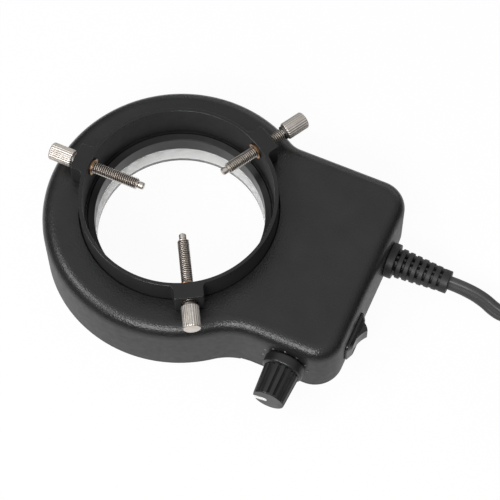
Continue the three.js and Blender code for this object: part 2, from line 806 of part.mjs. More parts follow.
function potNut() {
  const bottom = washerThickness + gap * 2;
  const outline = arc(0, 0, nutCornerDiameter / 2, 0, turn * (nutSides - 1) / nutSides, turn / nutSides);
  const body = prism(outline, bottom, bottom + nutThickness);
  return cut(body, disc(bushingRadius + gap, 0, bottom + nutThickness + overrun, pinSteps));
}

function potWasher() {
  return tube(bushingRadius + gap, washerRadius, gap, gap + washerThickness, pinSteps);
}

function knobBody() {
  const bottom = gap * 2;
  const top = knobHeight + gap;
  const edge = knobEdgeRadius;
  const blank = turned([
    [0, bottom], [skirtRadius, bottom], [skirtRadius, skirtHeight - edge], [skirtRadius - edge, skirtHeight],
    [knobShoulderRadius, skirtHeight], [knobEndRadius, top - edge], [knobEndRadius - edge, top], [0, top],
  ], fluteCount * 2);
  const flutes = [];
  for (let i = 0; i < fluteCount; i += 1) {
    const flute = disc(fluteRadius, skirtHeight + gap, top - edge, fluteSides);
    flutes.push(flute.translate(knobShoulderRadius, 0, 0).rotateZ(turn * (i + 0.5) / fluteCount));
  }
  const cavity = disc(nutCavityRadius, 0, bushingLength + gap, pinSteps * 2);
  const boreRadius = shaftRadius + gap;
  const bore = cut(
    disc(boreRadius, 0, shaftDepthInKnob + gap * 2, pinSteps),
    block(
      [shaftRadius - shaftFlatDepth + gap, boreRadius + overrun],
      [-boreRadius - overrun, boreRadius + overrun],
      [bushingLength + overrun * 2, top],
    ),
  );
  return cut(blank, ...flutes, cavity, bore, pointerSolid(gap, top - pointerDepth, top + overrun));
}

function pointerSolid(margin, bottom, top) {
  return block(
    [pointerSlot - margin, knobEndRadius + overrun],
    [-pointerWidth / 2 - margin, pointerWidth / 2 + margin],
    [bottom, top],
  );
}

function knobPointer() {
  const top = knobHeight + gap;
  const bar = pointerSolid(0, top - pointerDepth + gap, top);
  const rim = disc(knobEndRadius - knobEdgeRadius / 2, 0, top + overrun, pinSteps * 2);
  return common(bar, rim);
}

// Rocker switch. Its pieces are made with X along the rocker, Y across it and Z outwards,
// zero at the outside of the back wall.

function switchBody() {
  const openingRadius = rockerRadius + gap;
  const openingHalf = Math.sqrt(openingRadius ** 2 - rockerPivotDepth ** 2);
  const bezel = [
    slopedBar(bezelLength, openingHalf, bezelHeight).rotateX(rightAngle),
    slopedBar(bezelHeight, pocketHeight / 2, bezelLength).rotateX(rightAngle).rotateZ(rightAngle),
    prism(roundedRectangle(bezelLength, bezelHeight, bezelCornerRadius), 0, bezelThickness + overrun),
  ].reduce(common);
  const can = block(
    [-switchBodyLength / 2, switchBodyLength / 2],
    [-switchBodyHeight / 2, switchBodyHeight / 2],
    [-switchBodyDepth - wall, gap * 2],
  );
  const pivotZ = bezelThickness - rockerPivotDepth;
  const opening = disc(openingRadius, -pocketHeight / 2, pocketHeight / 2, ringSteps).rotateX(rightAngle);
  const depths = block(
    [-openingRadius - overrun, openingRadius + overrun],
    [-pocketHeight, pocketHeight],
    [pivotZ - pocketDepth, bezelThickness + overrun],
  );
  const pivot = disc(pivotRadius + gap, -switchBodyHeight, switchBodyHeight, pinSteps).rotateX(rightAngle);
  const slots = [-1, 1].map((side) => terminalBlock(side, gap, -switchBodyDepth - wall - overrun));
  return cut(
    join(bezel, can), common(opening.translate(0, 0, pivotZ), depths), pivot.translate(0, 0, pivotZ), ...slots,
  );
}

// A bar along Z with the bezel's section: flat from the gap up to its outline, then sloping in to the opening
function slopedBar(length, openingHalf, width) {
  const half = length / 2;
  const section = [
    [-half, gap], [half, gap], [half, bezelEdgeThickness], [openingHalf, bezelThickness],
    [-openingHalf, bezelThickness], [-half, bezelEdgeThickness],
  ];
  return prism(section.map(([x, y]) => new THREE.Vector2(x, y)), -width / 2, width / 2);
}

function terminalBlock(side, margin, bottom) {
  const seat = -switchBodyDepth - wall;
  const middle = side * terminalOffset;
  const depth = switchBodyDepth + wall + bezelThickness - rockerPivotDepth - pocketDepth;
  return block(
    [middle - terminalThickness / 2 - margin, middle + terminalThickness / 2 + margin],
    [-terminalWidth / 2 - margin, terminalWidth / 2 + margin],
    [bottom, seat + depth / 2 + margin],
  );
}

function rockerBody() {
  const corner = [rockerRadius * Math.cos(rockerCornerAngle), rockerRadius * Math.sin(rockerCornerAngle)];
  const hollowRadius = (corner[0] ** 2 + rockerHollow ** 2) / (2 * rockerHollow);
  const hollowSpan = Math.asin(corner[0] / hollowRadius);
  const hollowY = corner[1] - rockerHollow + hollowRadius;
  const side = arc(0, 0, rockerRadius, -fineArcStep / 2, rockerCornerAngle, fineArcStep / 2);
  const mirrored = side.map((point) => new THREE.Vector2(-point.x, point.y)).reverse();
  const hollow = arc(0, hollowY, hollowRadius, -rightAngle + hollowSpan, -rightAngle - hollowSpan, fineArcStep / 2);
  const belly = new THREE.Vector2(0, -rockerBelly - rockerHollow);
  const half = pocketHeight / 2 - gap;
  const body = prism([...side, ...hollow.slice(1, -1), ...mirrored, belly], -half, half);
  const pins = disc(pivotRadius, -switchBodyHeight / 2, switchBodyHeight / 2, pinSteps);
  return join(body, pins).rotateX(rightAngle);
}

// Strain relief, along +Z from the outside of the back wall

function strainRelief() {
  const neckBottom = -wall - gap - reliefInnerFlangeThickness;
  const coreAt = (height) => THREE.MathUtils.mapLinear(
    height, reliefCollarThickness, reliefLength, reliefCoreStartRadius, reliefCoreEndRadius,
  );
  const profile = [
    [0, neckBottom], [reliefInnerFlangeRadius, neckBottom], [reliefInnerFlangeRadius, -wall - gap],
    [reliefNeckRadius, -wall - gap], [reliefNeckRadius, gap], [reliefCollarRadius, gap],
    [reliefCollarRadius, reliefCollarThickness], [coreAt(reliefCollarThickness), reliefCollarThickness],
  ];
  for (let i = 0; i < reliefRibCount; i += 1) {
    const bottom = reliefFirstRib + reliefRibPitch * i;
    const top = bottom + reliefRibThickness;
    const radius = THREE.MathUtils.lerp(reliefRibStartRadius, reliefRibEndRadius, i / (reliefRibCount - 1));
    profile.push([coreAt(bottom), bottom], [radius, bottom], [radius, top], [coreAt(top), top]);
  }
  const endCollar = reliefLength - reliefEndCollarLength;
  profile.push([coreAt(endCollar), endCollar], [reliefEndCollarRadius, endCollar]);
  profile.push([reliefEndCollarRadius, reliefLength], [0, reliefLength]);
  return turned(profile, reliefSteps);
}

// Leads inside the box

function roundLead(route) {
  const section = arc(0, 0, leadRadius, 0, turn * (leadSides - 1) / leadSides, turn / leadSides);
  const settings = { steps: route.length * routeSteps, extrudePath: curveThrough(route) };
  return new THREE.ExtrudeGeometry(new THREE.Shape(section), settings);
}

// Cord: a free stretch that turns onto its edge, a piled coil, and a stretch over the coil to the plug

// Stations along a route of [x, y, z, lean], each with its place and its lean in radians.
function stationsAlong(route) {
  const curve = curveThrough(route.map(([x, y, z]) => [x, y, z]));
  const count = (route.length - 1) * routeSteps;
  return Array.from({ length: count + 1 }, (_, i) => {
    const before = Math.min(Math.floor(i / routeSteps), route.length - 2);
    const lean = THREE.MathUtils.lerp(route[before][3], route[before + 1][3], i / routeSteps - before);
    return { place: curve.getPoint(i / count), lean: THREE.MathUtils.degToRad(lean) };
  });
}

// A place round the coil: clockwise turns from its entry, radius and height
function roundCoil(turns, radius, height) {
  const angle = coilEntryAngle - turn * turns;
  return [coilCentreX + radius * Math.cos(angle), coilCentreY + radius * Math.sin(angle), height];
}

function coilStations() {
  const half = coilTurns / 2;
  const count = Math.round(coilTurns * loopSteps);
  return Array.from({ length: count + 1 }, (_, i) => {
    const turns = coilTurns * i / count;
    const radius = coilOuterRadius - loopPitch * (half - Math.abs(turns - half));
    const climb = THREE.MathUtils.smoothstep(turns, half - climbTurns / 2, half + climbTurns / 2);
    return { place: new THREE.Vector3(...roundCoil(turns, radius, coilBottomZ + layerPitch * climb)), lean: 0 };
  });
}

function tailStations() {
  const after = coilTurns + gap / (turn * coilOuterRadius);
  return stationsAlong(tailRoute.map(([degrees, outwards, upwards]) => [
    ...roundCoil(after + THREE.MathUtils.degToRad(degrees) / turn, coilOuterRadius + outwards, coilTopZ + upwards), 0,
  ]));
}

// Section of the cord: shares of its [thickness, width]
const cordSectionShares = [[0.5, 0], [0.3, 0.5], [-0.3, 0.5], [-0.5, 0], [-0.3, -0.5], [0.3, -0.5]];

// The cord's section at each station, square to the way that the cord runs there
function cordRings(stations) {
  const up = new THREE.Vector3(0, 0, 1);
  return stations.map(({ place, lean }, i) => {
    const before = stations[Math.max(i - 1, 0)].place;
    const after = stations[Math.min(i + 1, stations.length - 1)].place;
    const ahead = after.clone().sub(before).normalize();
    const side = ahead.clone().cross(up).normalize();
    const rise = side.clone().cross(ahead);
    const wide = rise.clone().multiplyScalar(Math.cos(lean)).addScaledVector(side, Math.sin(lean));
    const thick = side.clone().multiplyScalar(Math.cos(lean)).addScaledVector(rise, -Math.sin(lean));
    return cordSectionShares.map(([across, high]) => place.clone()
      .addScaledVector(thick, across * cordThickness)
      .addScaledVector(wide, high * cordWidth));
  });
}

function cordSkin(rings) {
  const sides = cordSectionShares.length;
  const corners = rings.flat().flatMap((point) => [point.x, point.y, point.z]);
  const faces = [];
  for (let i = 0; i < rings.length - 1; i += 1) {
    for (let j = 0; j < sides; j += 1) {
      const a = i * sides + j;
      const b = i * sides + (j + 1) % sides;
      faces.push(a, a + sides, b, b, a + sides, b + sides);
    }
  }
  const last = (rings.length - 1) * sides;
  for (let j = 1; j < sides - 1; j += 1) {
    faces.push(0, j, j + 1);
    faces.push(last, last + j + 1, last + j);
  }
  const geometry = new THREE.BufferGeometry();
  geometry.setAttribute('position', new THREE.BufferAttribute(new Float32Array(corners), 3));
  geometry.setIndex(faces);
  return geometry;
}

// Least distance between section points of the coil that lie half a loop apart or more along it
function coilSelfGap(rings) {
  let least = Infinity;
  for (let i = 0; i < rings.length; i += 1) {
    for (let j = i + loopSteps / 2; j < rings.length; j += 1) {
      for (const point of rings[i]) {
        for (const other of rings[j]) least = Math.min(least, point.distanceTo(other));
      }
    }
  }
  return least;
}

function coilTie() {
  const inner = coilOuterRadius - loopPitch * coilTurns / 2 - cordThickness / 2 - gap;
  const outer = coilOuterRadius + cordThickness / 2 + gap;
  const top = coilTopZ + cordWidth / 2 + gap;
  const band = block([inner - tieThickness, outer + tieThickness], [-tieWidth / 2, tieWidth / 2], [0, top + tieThickness]);
  const window = block([inner, outer], [-tieWidth / 2 - overrun, tieWidth / 2 + overrun], [tieThickness, top]);
  return cut(band, window).rotateZ(tieAngle).translate(coilCentreX, coilCentreY, 0);
}

// Plug, along +Y from the cord's end at zero

function plugBody() {
  const nose = disc(plugNoseRadius, gap, plugNoseLength + overrun, pinSteps);
  const body = prism(roundedRectangle(plugWidth, plugThickness, plugCornerRadius), plugNoseLength, plugLength);
  const sockets = [-1, 1].map((side) => bladeBlock(side, gap, plugLength - bladeSocketDepth - gap, plugLength + overrun));
  return cut(join(nose, body), ...sockets);
}

function bladeBlock(side, margin, bottom, top) {
  const middle = side * bladeSpacing / 2;
  return block(
    [middle - bladeThickness / 2 - margin, middle + bladeThickness / 2 + margin],
    [-bladeWidth / 2 - margin, bladeWidth / 2 + margin],
    [bottom, top],
  );
}

// Assembly

add('housing', housing(), looks.shell);
add('bottom_cover', bottomCover(), looks.shell);
coverScrewPlaces.forEach(([x, y], i) => {
  add(`cover_screw_${i + 1}`, coverScrew(), looks.steel).position.set(x, y, 0);
});
add('clamp_ring', clampRing(), looks.clamp);
add('inner_sleeve', innerSleeve(), looks.sleeve);
add('led_board', ledBoard(), looks.board);
add('led_cover', ledCover(), looks.clear);

for (let i = 0; i < lugCount; i += 1) {
  const lug = new THREE.Group();
  lug.rotation.z = Math.PI + turn * i / lugCount;
  lug.position.z = screwAxisZ;
  parts.add(lug);
  add(`bush_${i + 1}`, alongX(bush()), looks.brass, lug);
  const tip = clampBoreRadius - screwReaches[i];
  add(`thumbscrew_${i + 1}`, alongX(thumbscrew()), looks.nickel, lug).position.x = tip;
  add(`screw_point_${i + 1}`, alongX(screwPoint()), looks.nickel, lug).position.x = tip;
}

add('driver_board', driverBoard(), looks.green);
boardScrewPlaces.forEach(([x, y], i) => {
  add(`board_screw_${i + 1}`, boardScrew(), looks.steel).position.set(x, y, 0);
});
onBoard(add('transformer', transformerBody(), looks.yellow), driverBoardWidth / 2, transformerStart + transformerLength / 2);
onBoard(
  add('bulk_capacitor', capacitor(bulkCapacitorRadius, bulkCapacitorHeight), looks.rubber),
  driverBoardSideMargin + bulkCapacitorRadius,
  bulkCapacitorStart + bulkCapacitorRadius,
);
onBoard(
  add('output_capacitor', capacitor(outputCapacitorRadius, outputCapacitorHeight), looks.rubber),
  driverBoardSideMargin + outputCapacitorRadius,
  driverBoardEndMargin + outputCapacitorRadius,
);
onBoard(
  add('rectifier', rectifierBody(), looks.rubber),
  rectifierStart + rectifierThickness / 2,
  boardScrewInset * 2 + componentGap + rectifierWidth / 2,
);

const control = new THREE.Group();
control.position.set(knobX, nearWallY, knobZ);
parts.add(control);
add('pot_body', alongNearY(potBody()), looks.steel, control);
add('pot_washer', alongNearY(potWasher()), looks.steel, control);
add('pot_nut', alongNearY(potNut()), looks.steel, control);
const turning = new THREE.Group();
turning.rotation.y = -pointerAngle;
control.add(turning);
add('pot_shaft', alongNearY(potShaft()), looks.steel, turning);
add('dimmer_knob', alongNearY(knobBody()), looks.knob, turning);
add('knob_pointer', alongNearY(knobPointer()), looks.white, turning);

const powerSwitch = new THREE.Group();
powerSwitch.position.set(backWallX, switchY, switchZ);
powerSwitch.rotation.set(rightAngle, rightAngle, 0);
parts.add(powerSwitch);
add('switch_body', switchBody(), looks.gloss, powerSwitch);
[-1, 1].forEach((side, i) => {
  const seat = -switchBodyDepth - wall;
  add(`switch_terminal_${i + 1}`, terminalBlock(side, 0, seat - terminalLength + wall), looks.brass, powerSwitch);
});
const rocker = add('rocker', rockerBody(), looks.gloss, powerSwitch);
rocker.position.z = bezelThickness - rockerPivotDepth;
rocker.rotation.y = -rockerRestTilt;

const relief = add('strain_relief', alongX(strainRelief()), looks.rubber);
relief.position.set(backWallX, reliefY, reliefZ);

const leadStations = stationsAlong(leadRoute);
const loopStations = coilStations();
const plugStations = tailStations();
const sections = cordRings([...leadStations, ...loopStations, ...plugStations]);
const loops = sections.slice(leadStations.length, -plugStations.length);
add('cord_lead', cordSkin(sections.slice(0, leadStations.length)), looks.rubber);
add('cord_coil', cordSkin(loops), looks.rubber);
add('cord_tail', cordSkin(sections.slice(-plugStations.length)), looks.rubber);
add('coil_tie', coilTie(), looks.rubber);

const [lastBend, cordEnd] = plugStations.slice(-2).map((station) => station.place);
const plugHeading = Math.atan2(cordEnd.y - lastBend.y, cordEnd.x - lastBend.x);
const plug = new THREE.Group();
plug.position.copy(cordEnd);
plug.rotation.set(-rightAngle, 0, plugHeading - rightAngle, 'ZXY');
parts.add(plug);
add('plug_body', plugBody(), looks.rubber, plug);
[-1, 1].forEach((side, i) => {
  const seat = plugLength - bladeSocketDepth;
  add(`plug_blade_${i + 1}`, bladeBlock(side, 0, seat, plugLength + bladeLength), looks.brass, plug);
});

const inBox = new THREE.Group();
inBox.position.set(backWallX, boxMiddleY, 0);
parts.add(inBox);
const leads = { live: liveLeadRoute, neutral: neutralLeadRoute, switch: switchLeadRoute, led: ledLeadRoute };
for (const [name, route] of Object.entries(leads)) {
  add(`${name}_lead`, roundLead(route), looks.wire, inBox);
}

console.log(`least gap between the coil's turns: ${coilSelfGap(loops).toFixed(2)} mm, wanted over ${selfGapLeast} mm`);

export default parts;
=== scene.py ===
# LED ring lamp for a stereo microscope: its looks, its mains cord, the studio and the photograph's view.
# Sizes are in millimetres until a mesh is made. The origin is on the lamp's optical axis, on the plane
# that it rests on, +X runs to the control box's back wall, and the knob is on the -Y side.

from math import asin, atan2, cos, pi, radians, sin, sqrt, tau

import bmesh
import bpy
from mathutils import Matrix, Vector


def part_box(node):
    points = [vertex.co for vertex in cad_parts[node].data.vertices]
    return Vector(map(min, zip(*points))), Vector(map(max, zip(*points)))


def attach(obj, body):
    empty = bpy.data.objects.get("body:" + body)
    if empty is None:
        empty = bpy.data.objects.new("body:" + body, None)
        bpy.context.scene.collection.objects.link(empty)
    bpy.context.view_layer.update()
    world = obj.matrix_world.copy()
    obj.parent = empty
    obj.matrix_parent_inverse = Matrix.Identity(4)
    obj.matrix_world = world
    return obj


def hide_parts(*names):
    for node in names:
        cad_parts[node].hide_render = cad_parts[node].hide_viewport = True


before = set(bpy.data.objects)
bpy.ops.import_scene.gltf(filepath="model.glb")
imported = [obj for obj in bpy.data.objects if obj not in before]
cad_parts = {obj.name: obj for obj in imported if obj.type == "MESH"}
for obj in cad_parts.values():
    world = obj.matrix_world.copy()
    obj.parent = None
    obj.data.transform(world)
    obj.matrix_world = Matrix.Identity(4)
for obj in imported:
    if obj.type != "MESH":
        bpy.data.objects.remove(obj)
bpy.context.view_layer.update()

MM = 0.001
QUARTER = pi / 2
# Steps round a large circle
FINE = 180


def extent(node):
    """Lowest and highest corner of a CAD node, in millimetres."""
    return [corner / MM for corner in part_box(node)]


# Sizes of the housing, as in the CAD source, apart from a rounder top edge
GAP = 0.3
OVERRUN = 1.0
RING_RADIUS = 47.5
TOP_FILLET = 5.2
WALL = 2.0
NEAR_WALL_Y = -33.15
FAR_WALL_Y = 39.65
BOX_CORNER = 10.0
NEAR_BLEND = 21.0
FAR_BLEND = 8.3
BOTTOM_EDGE = 0.4
HOUSING_TOP = extent("housing")[1].z
BACK_WALL_X = extent("housing")[1].x
BOTTOM_COVER_THICKNESS = extent("bottom_cover")[1].z
COVER_SEAT_Z = BOTTOM_COVER_THICKNESS + GAP
FOOT_WIDTH = 3.1
COVER_ARC = RING_RADIUS + FOOT_WIDTH
CAVITY_TOP = HOUSING_TOP - WALL
CHANNEL_RADIUS = RING_RADIUS - WALL
HOLE_RADIUS = 29.5
POST_RADIUS = 2.8
SCREW_HOLE_RADIUS = 1.65
SCREW_HOLE_DEPTH = 8.0
BOSS_RADIUS = 2.6
BOSS_DROP = 2.2
BOSS_HOLE_RADIUS = 1.3
RIB_COUNT = 6
RIB_THICKNESS = 1.5
RIB_BOTTOM = 16.1
RIB_SUNK = (1.0, 0.4)
BORE_EDGE = 0.3
CONTROL_HOLE_RADIUS = 3.9
LEAD_SLOT_WIDTH = 4.0
LEAD_SLOT_Y = 16.3

# Screws of the bottom cover, as profiles of (radius, height), and the cross in their heads
COVER_SCREW = [(0, 0.05), (2.1, 0.05), (2.5, 0.3), (1.35, 1.2), (1.35, 6.65), (0, 8)]
COUNTERSINK = [(2.8, 0.3), (SCREW_HOLE_RADIUS, 1.35)]
CROSS_RADIUS = 1.4
CROSS_DEPTH = 1.5
CROSS_HALF_WIDTH = 0.32
CROSS_TAPER = 0.3
CROSS_TURN = 0.5

# Clamp ring
CLAMP_BORE = 32.8
CLAMP_WALL = 1.35
CLAMP_RADIUS = CLAMP_BORE + CLAMP_WALL
CLAMP_BOTTOM = extent("clamp_ring")[0].z
CLAMP_TOP = extent("clamp_ring")[1].z
SHELF_TOP = CLAMP_BOTTOM - GAP
SHELF_BOTTOM = SHELF_TOP - 2.0
LUG_COUNT = 3
LUG_REACH = CLAMP_RADIUS + 4.55
LUG_HALF_WIDTH = 5.1
LUG_FILLET = 2.2
LUG_CORNER = 0.8
LUG_STEP_DOWN = 0.02
CLAMP_EDGE = 0.3

# Thumbscrews
SCREW_AXIS_Z = CLAMP_TOP - 3.85
SCREW_TIPS = [13.1, 13.1, 18.2]
THREAD_PITCH = 0.7
THREAD_CREST = 2.0
THREAD_ROOT = 1.42
# Radius of a dark tube inside the thread, whose colour paints shade in the thread's roots
THREAD_SHADE_RADIUS = 1.66
THREAD_RUNOUT = 0.4
POINT_RADIUS = 1.25
POINT_LENGTH = 1.9
POINT_STEM_RADIUS = 0.7
POINT_STEM_LENGTH = 3.2
UNDER_HEAD = 26.8
COLLAR_RADIUS = 2.5
COLLAR_THICKNESS = 0.8
HEAD_RADIUS = 3.1
HEAD_LENGTH = 8.4
HEAD_CHAMFER = 0.45
KNURL_COUNT = 22
KNURL_DEPTH = 0.18
BUSH_RADIUS = 2.7
BUSH_LIP_RADIUS = 2.95
BUSH_LIP_THICKNESS = 0.4
BUSH_BORE = 2.1
BUSH_EDGE = 0.14

# Sleeve, clear cover and LEDs
SLEEVE_RADIUS = HOLE_RADIUS + 1.4
SLEEVE_LIP_RADIUS = 31.75
SLEEVE_LIP_SEAT = 1.3
SLEEVE_TOP_FALL = 0.8
COVER_WALL = 1.1
BOARD_THICKNESS = 1.6
BOARD_HOLE_RADIUS = HOLE_RADIUS + 2.1
LED_RADIUS = 2.5
LED_FLANGE_WIDTH = 0.35
LED_FLANGE_THICKNESS = 1.0
LED_CUP = [(0, 3.6), (1.1, 3.1), (1.25, 3.1), (1.25, 4.4), (0, 4.4)]
LED_ROWS = (0.22, 0.66)
LEDS_IN_ROW = 28

# Brightness control
KNOB_X = 54.6
KNOB_Z = 13.7
SKIRT_RADIUS = 7.2
SKIRT_HEIGHT = 4.2
KNOB_SHOULDER = 6.2
KNOB_END = 5.6
KNOB_TOP = 15.7
KNOB_BOTTOM = 0.6
FLUTE_COUNT = 16
FLUTE_DEPTH = 0.6
FLUTE_SHARE = 0.4
POINTER_ANGLE = radians(195)
POINTER_WIDTH = 2.0
POINTER_START = 1.5
SHAFT_RADIUS = 3.0
SHAFT_DEPTH = 10.8
NUT_CAVITY = 6.1
BUSHING_LENGTH = 4.4
SCALE_CENTRE = (KNOB_X - 0.5, KNOB_Z - 1.6)
SCALE_RADIUS = 8.2
SCALE_START = -35.1
SCALE_PITCH = 31.6
SCALE_DOTS = 9
SCALE_DOT_RADIUS = 0.4
SCALE_INK = 0.03

# Switch
SWITCH_Y = -13.7
SWITCH_Z = 9.0
BEZEL_LENGTH = 15.4
BEZEL_HEIGHT = 10.3
BEZEL_THICKNESS = 2.0
BEZEL_EDGE = 1.0
SWITCH_CAN = (13.6, 8.8)
SWITCH_DEPTH = 10.4
POCKET_HEIGHT = 6.9
POCKET_DEPTH = 5.8
ROCKER_RADIUS = 5.85
ROCKER_PIVOT_DEPTH = 3.1
ROCKER_CORNER = radians(47)
ROCKER_HOLLOW = 0.8
ROCKER_BELLY = 2.4
ROCKER_REST = radians(17)
ROCKER_END = radians(-15)
ROCKER_EDGE = 0.35

# Strain relief
RELIEF_Y = 18.4
RELIEF_Z = 8.3
RELIEF_LENGTH = 22.6
RELIEF_COLLAR = (6.3, 2.9)
RELIEF_CORE = (4.8, 3.85)
RELIEF_RIBS = 6
RELIEF_RIB_RADII = (5.3, 4.3)
RELIEF_RIB_THICKNESS = 1.65
RELIEF_RIB_PITCH = 2.64
RELIEF_FIRST_RIB = 4.0
RELIEF_END = (4.1, 2.75)
RELIEF_NECK_RADIUS = 4.4
# [degrees from +Y towards +Z where a window begins, where it ends], again on the opposite side
RELIEF_WINDOWS = [(61, 89), (99, 113), (120, 157)]
RELIEF_WINDOW_FLOOR = 2.9
RELIEF_FLANGE_RADIUS = 5.6
RELIEF_FLANGE_THICKNESS = 1.6
RELIEF_EDGE = 0.28

# Cord: the stretches that aren't coiled follow the points of the CAD source
CORD_WIDTH = 5.8
CORD_THICKNESS = 3.3
CORD_HOLLOW = 0.35
CORD_INSIDE = 2.5
LOOP_PITCH = 3.9
LAYER_PITCH = 6.4
COIL_TURNS = 7.04
CLIMB_TURNS = 0.5
COIL_RADIUS = 38.0
COIL_ENTRY = radians(120)
COIL_STEPS = 72
TIE_THICKNESS = 0.5
TIE_WIDTH = 7.0
TIE_CORNER = 2.2
TIE_ANGLE = radians(215)
# [x, y, z, degrees by which the cord's width leans from upright]
LEAD_ROUTE = [
    (93.85, 18.4, 8.3, -14), (96.5, 18.4, 8.3, -15), (100, 18.4, 7.9, -18), (103.8, 18.3, 7, -22),
    (107.5, 17.9, 5.7, -27), (110.5, 17.2, 4.6, -30), (113.5, 16.8, 3.8, -28), (117, 17.2, 3.6, -22),
    (121, 18.9, 3.6, -14), (125, 21.4, 3.7, -7), (129.5, 24.6, 3.7, -2), (134.5, 28.2, 3.7, 0),
    (139.5, 31.8, 3.7, 0), (144.5, 34.9, 3.7, 0),
]
# [degrees round the coil, outwards from its outer loop, upwards from its upper layer]
TAIL_ROUTE = [
    (0, 0, 0), (10, 0.1, 0.3), (20, 0.2, 1.3), (30, 0.35, 2.9), (40, 0.4, 4.7), (48, 0.3, 6.1),
    (55, 0, 7.3), (61.7, -0.2, 8.5), (68.1, -1.4, 9.5), (74, -3.1, 10.2), (80, -4.9, 10.6),
    (84.9, -6.05, 10.7),
]
ROUTE_STEPS = 4
COIL_BOTTOM_Z = TIE_THICKNESS + GAP + CORD_WIDTH / 2
COIL_TOP_Z = COIL_BOTTOM_Z + LAYER_PITCH
COIL_X = LEAD_ROUTE[-1][0] + GAP * sin(COIL_ENTRY) - COIL_RADIUS * cos(COIL_ENTRY)
COIL_Y = LEAD_ROUTE[-1][1] - GAP * cos(COIL_ENTRY) - COIL_RADIUS * sin(COIL_ENTRY)

# Plug
PLUG_WIDTH = 24.0
PLUG_THICKNESS = 15.0
PLUG_LENGTH = 30.0
PLUG_NOSE = 9.0
PLUG_RIBS = 4
PLUG_RIB = (9.6, 7.6)
PLUG_RIB_GROWTH = 0.5
PLUG_RIB_CORNER = 3.4
PLUG_FIRST_RIB = 2.2
PLUG_RIB_PITCH = 1.9
PLUG_RIB_THICKNESS = 0.9
BLADE_XS = (-6.35, 6.35)
BLADE_SECTION = (1.5, 6.3)
BLADE_SLOT = (2.1, 6.9)
BLADE_SUNK = 5.0
BLADE_REACH = 17.0
BLADE_HOLE_RADIUS = 1.6
BLADE_HOLE_Z = 13.5

# Studio: the floor's glow for reflections fades between two distances, in metres
FLOOR_REACH = 3000.0
FLOOR_COLOR = (0.86, 0.86, 0.86, 1)
FLOOR_DROP = 0.02
FLOOR_WHITE_SHARE = 0.95
FLOOR_GLOW = (0.075, 0.17)
FLOOR_GLOW_LEAST = 0.08
SKY_LOW = 0.04
SKY_HIGH = 0.7
SKY_RISE = (0.15, 0.95)
SKY_BACK = 1.1
SKY_BACK_TURN = (0.7, 0.95)
WHITE = (1, 1, 1, 1)
LAMPS_AIM = (20, 0, 10)
# [name, place, size, watts]
LAMPS = [("key", (-560, -330, 750), (350, 300), 3), ("front", (60, -720, 700), (600, 300), 6)]

# The photograph's camera
CAMERA_PLACE = Vector((157.535, -287.206, 660.683)) * MM
CAMERA_AZIMUTH = radians(24.534)
CAMERA_ELEVATION = radians(64.003)
CAMERA_ROLL = radians(-0.754)
CAMERA_LENS = 149.945


def aim_camera():
    azimuth, elevation, roll = CAMERA_AZIMUTH, CAMERA_ELEVATION, CAMERA_ROLL
    flat = cos(elevation)
    back = Vector((sin(azimuth) * flat, -cos(azimuth) * flat, sin(elevation)))
    level = Vector((cos(azimuth), sin(azimuth), 0))
    raised = back.cross(level)
    right = level * cos(roll) + raised * sin(roll)
    up = raised * cos(roll) - level * sin(roll)
    data = bpy.data.cameras.new("camera")
    data.sensor_fit = "HORIZONTAL"
    data.sensor_width = 36
    data.lens = CAMERA_LENS
    data.clip_start = 0.01
    data.clip_end = 20
    camera = added("camera", data)
    stance = Matrix((right, up, back)).transposed().to_4x4()
    camera.matrix_world = Matrix.Translation(CAMERA_PLACE) @ stance
    bpy.context.scene.camera = camera


# Outlines and meshes


def arc(centre_x, centre_y, radius, start, end, count):
    angles = [start + (end - start) * i / count for i in range(count + 1)]
    return [(centre_x + radius * cos(a), centre_y + radius * sin(a)) for a in angles]


def circle(radius, angle):
    return (radius * cos(angle), radius * sin(angle))


def rounded_rectangle(width, height, radius, count=6):
    x, y = width / 2 - radius, height / 2 - radius
    outline = []
    for i, (across, along) in enumerate(((x, y), (-x, y), (-x, -y), (x, -y))):
        outline += arc(across, along, radius, QUARTER * i, QUARTER * (i + 1), count)
    return outline


def soften(outline, radius, count=4):
    """Rounds each corner of a closed outline, apart from those on the axis at x = 0."""
    longest = 0.45
    rounded = []
    for i, corner in enumerate(outline):
        corner = Vector(corner)
        before, after = Vector(outline[i - 1]), Vector(outline[(i + 1) % len(outline)])
        if corner.x < radius:
            rounded.append(tuple(corner))
            continue
        start = corner + (before - corner).normalized() * min(radius, (before - corner).length * longest)
        end = corner + (after - corner).normalized() * min(radius, (after - corner).length * longest)
        for step in range(count + 1):
            t = step / count
            point = start * (1 - t) ** 2 + corner * 2 * t * (1 - t) + end * t ** 2
            rounded.append(tuple(point))
    return rounded


def inset(outline, distance):
    """The closed anticlockwise outline drawn in by a distance."""
    drawn = []
    for i, corner in enumerate(outline):
        corner = Vector(corner)
        first = (corner - Vector(outline[i - 1])).normalized()
        second = (Vector(outline[(i + 1) % len(outline)]) - corner).normalized()
        inward = Vector((-first.y - second.y, first.x + second.x)).normalized()
        share = max(0.5, inward.dot(Vector((-first.y, first.x))))
        drawn.append(tuple(corner + inward * distance / share))
    return drawn


def shade(piece, angle):
    """Smooth shading with flat faces kept flat and edges sharper than the angle kept sharp."""
    piece.data.shade_smooth()
    piece.data.set_sharp_from_angle(angle=radians(angle))
    even = piece.modifiers.new("even", "WEIGHTED_NORMAL")
    even.keep_sharp = True
    settle(piece)


def settle(piece):
    """Turns a piece's modifiers into its mesh."""
    graph = bpy.context.evaluated_depsgraph_get()
    mesh = bpy.data.meshes.new_from_object(piece.evaluated_get(graph))
    piece.modifiers.clear()
    piece.data = mesh


def added(name, data):
    made = bpy.data.objects.new(name, data)
    bpy.context.scene.collection.objects.link(made)
    return made


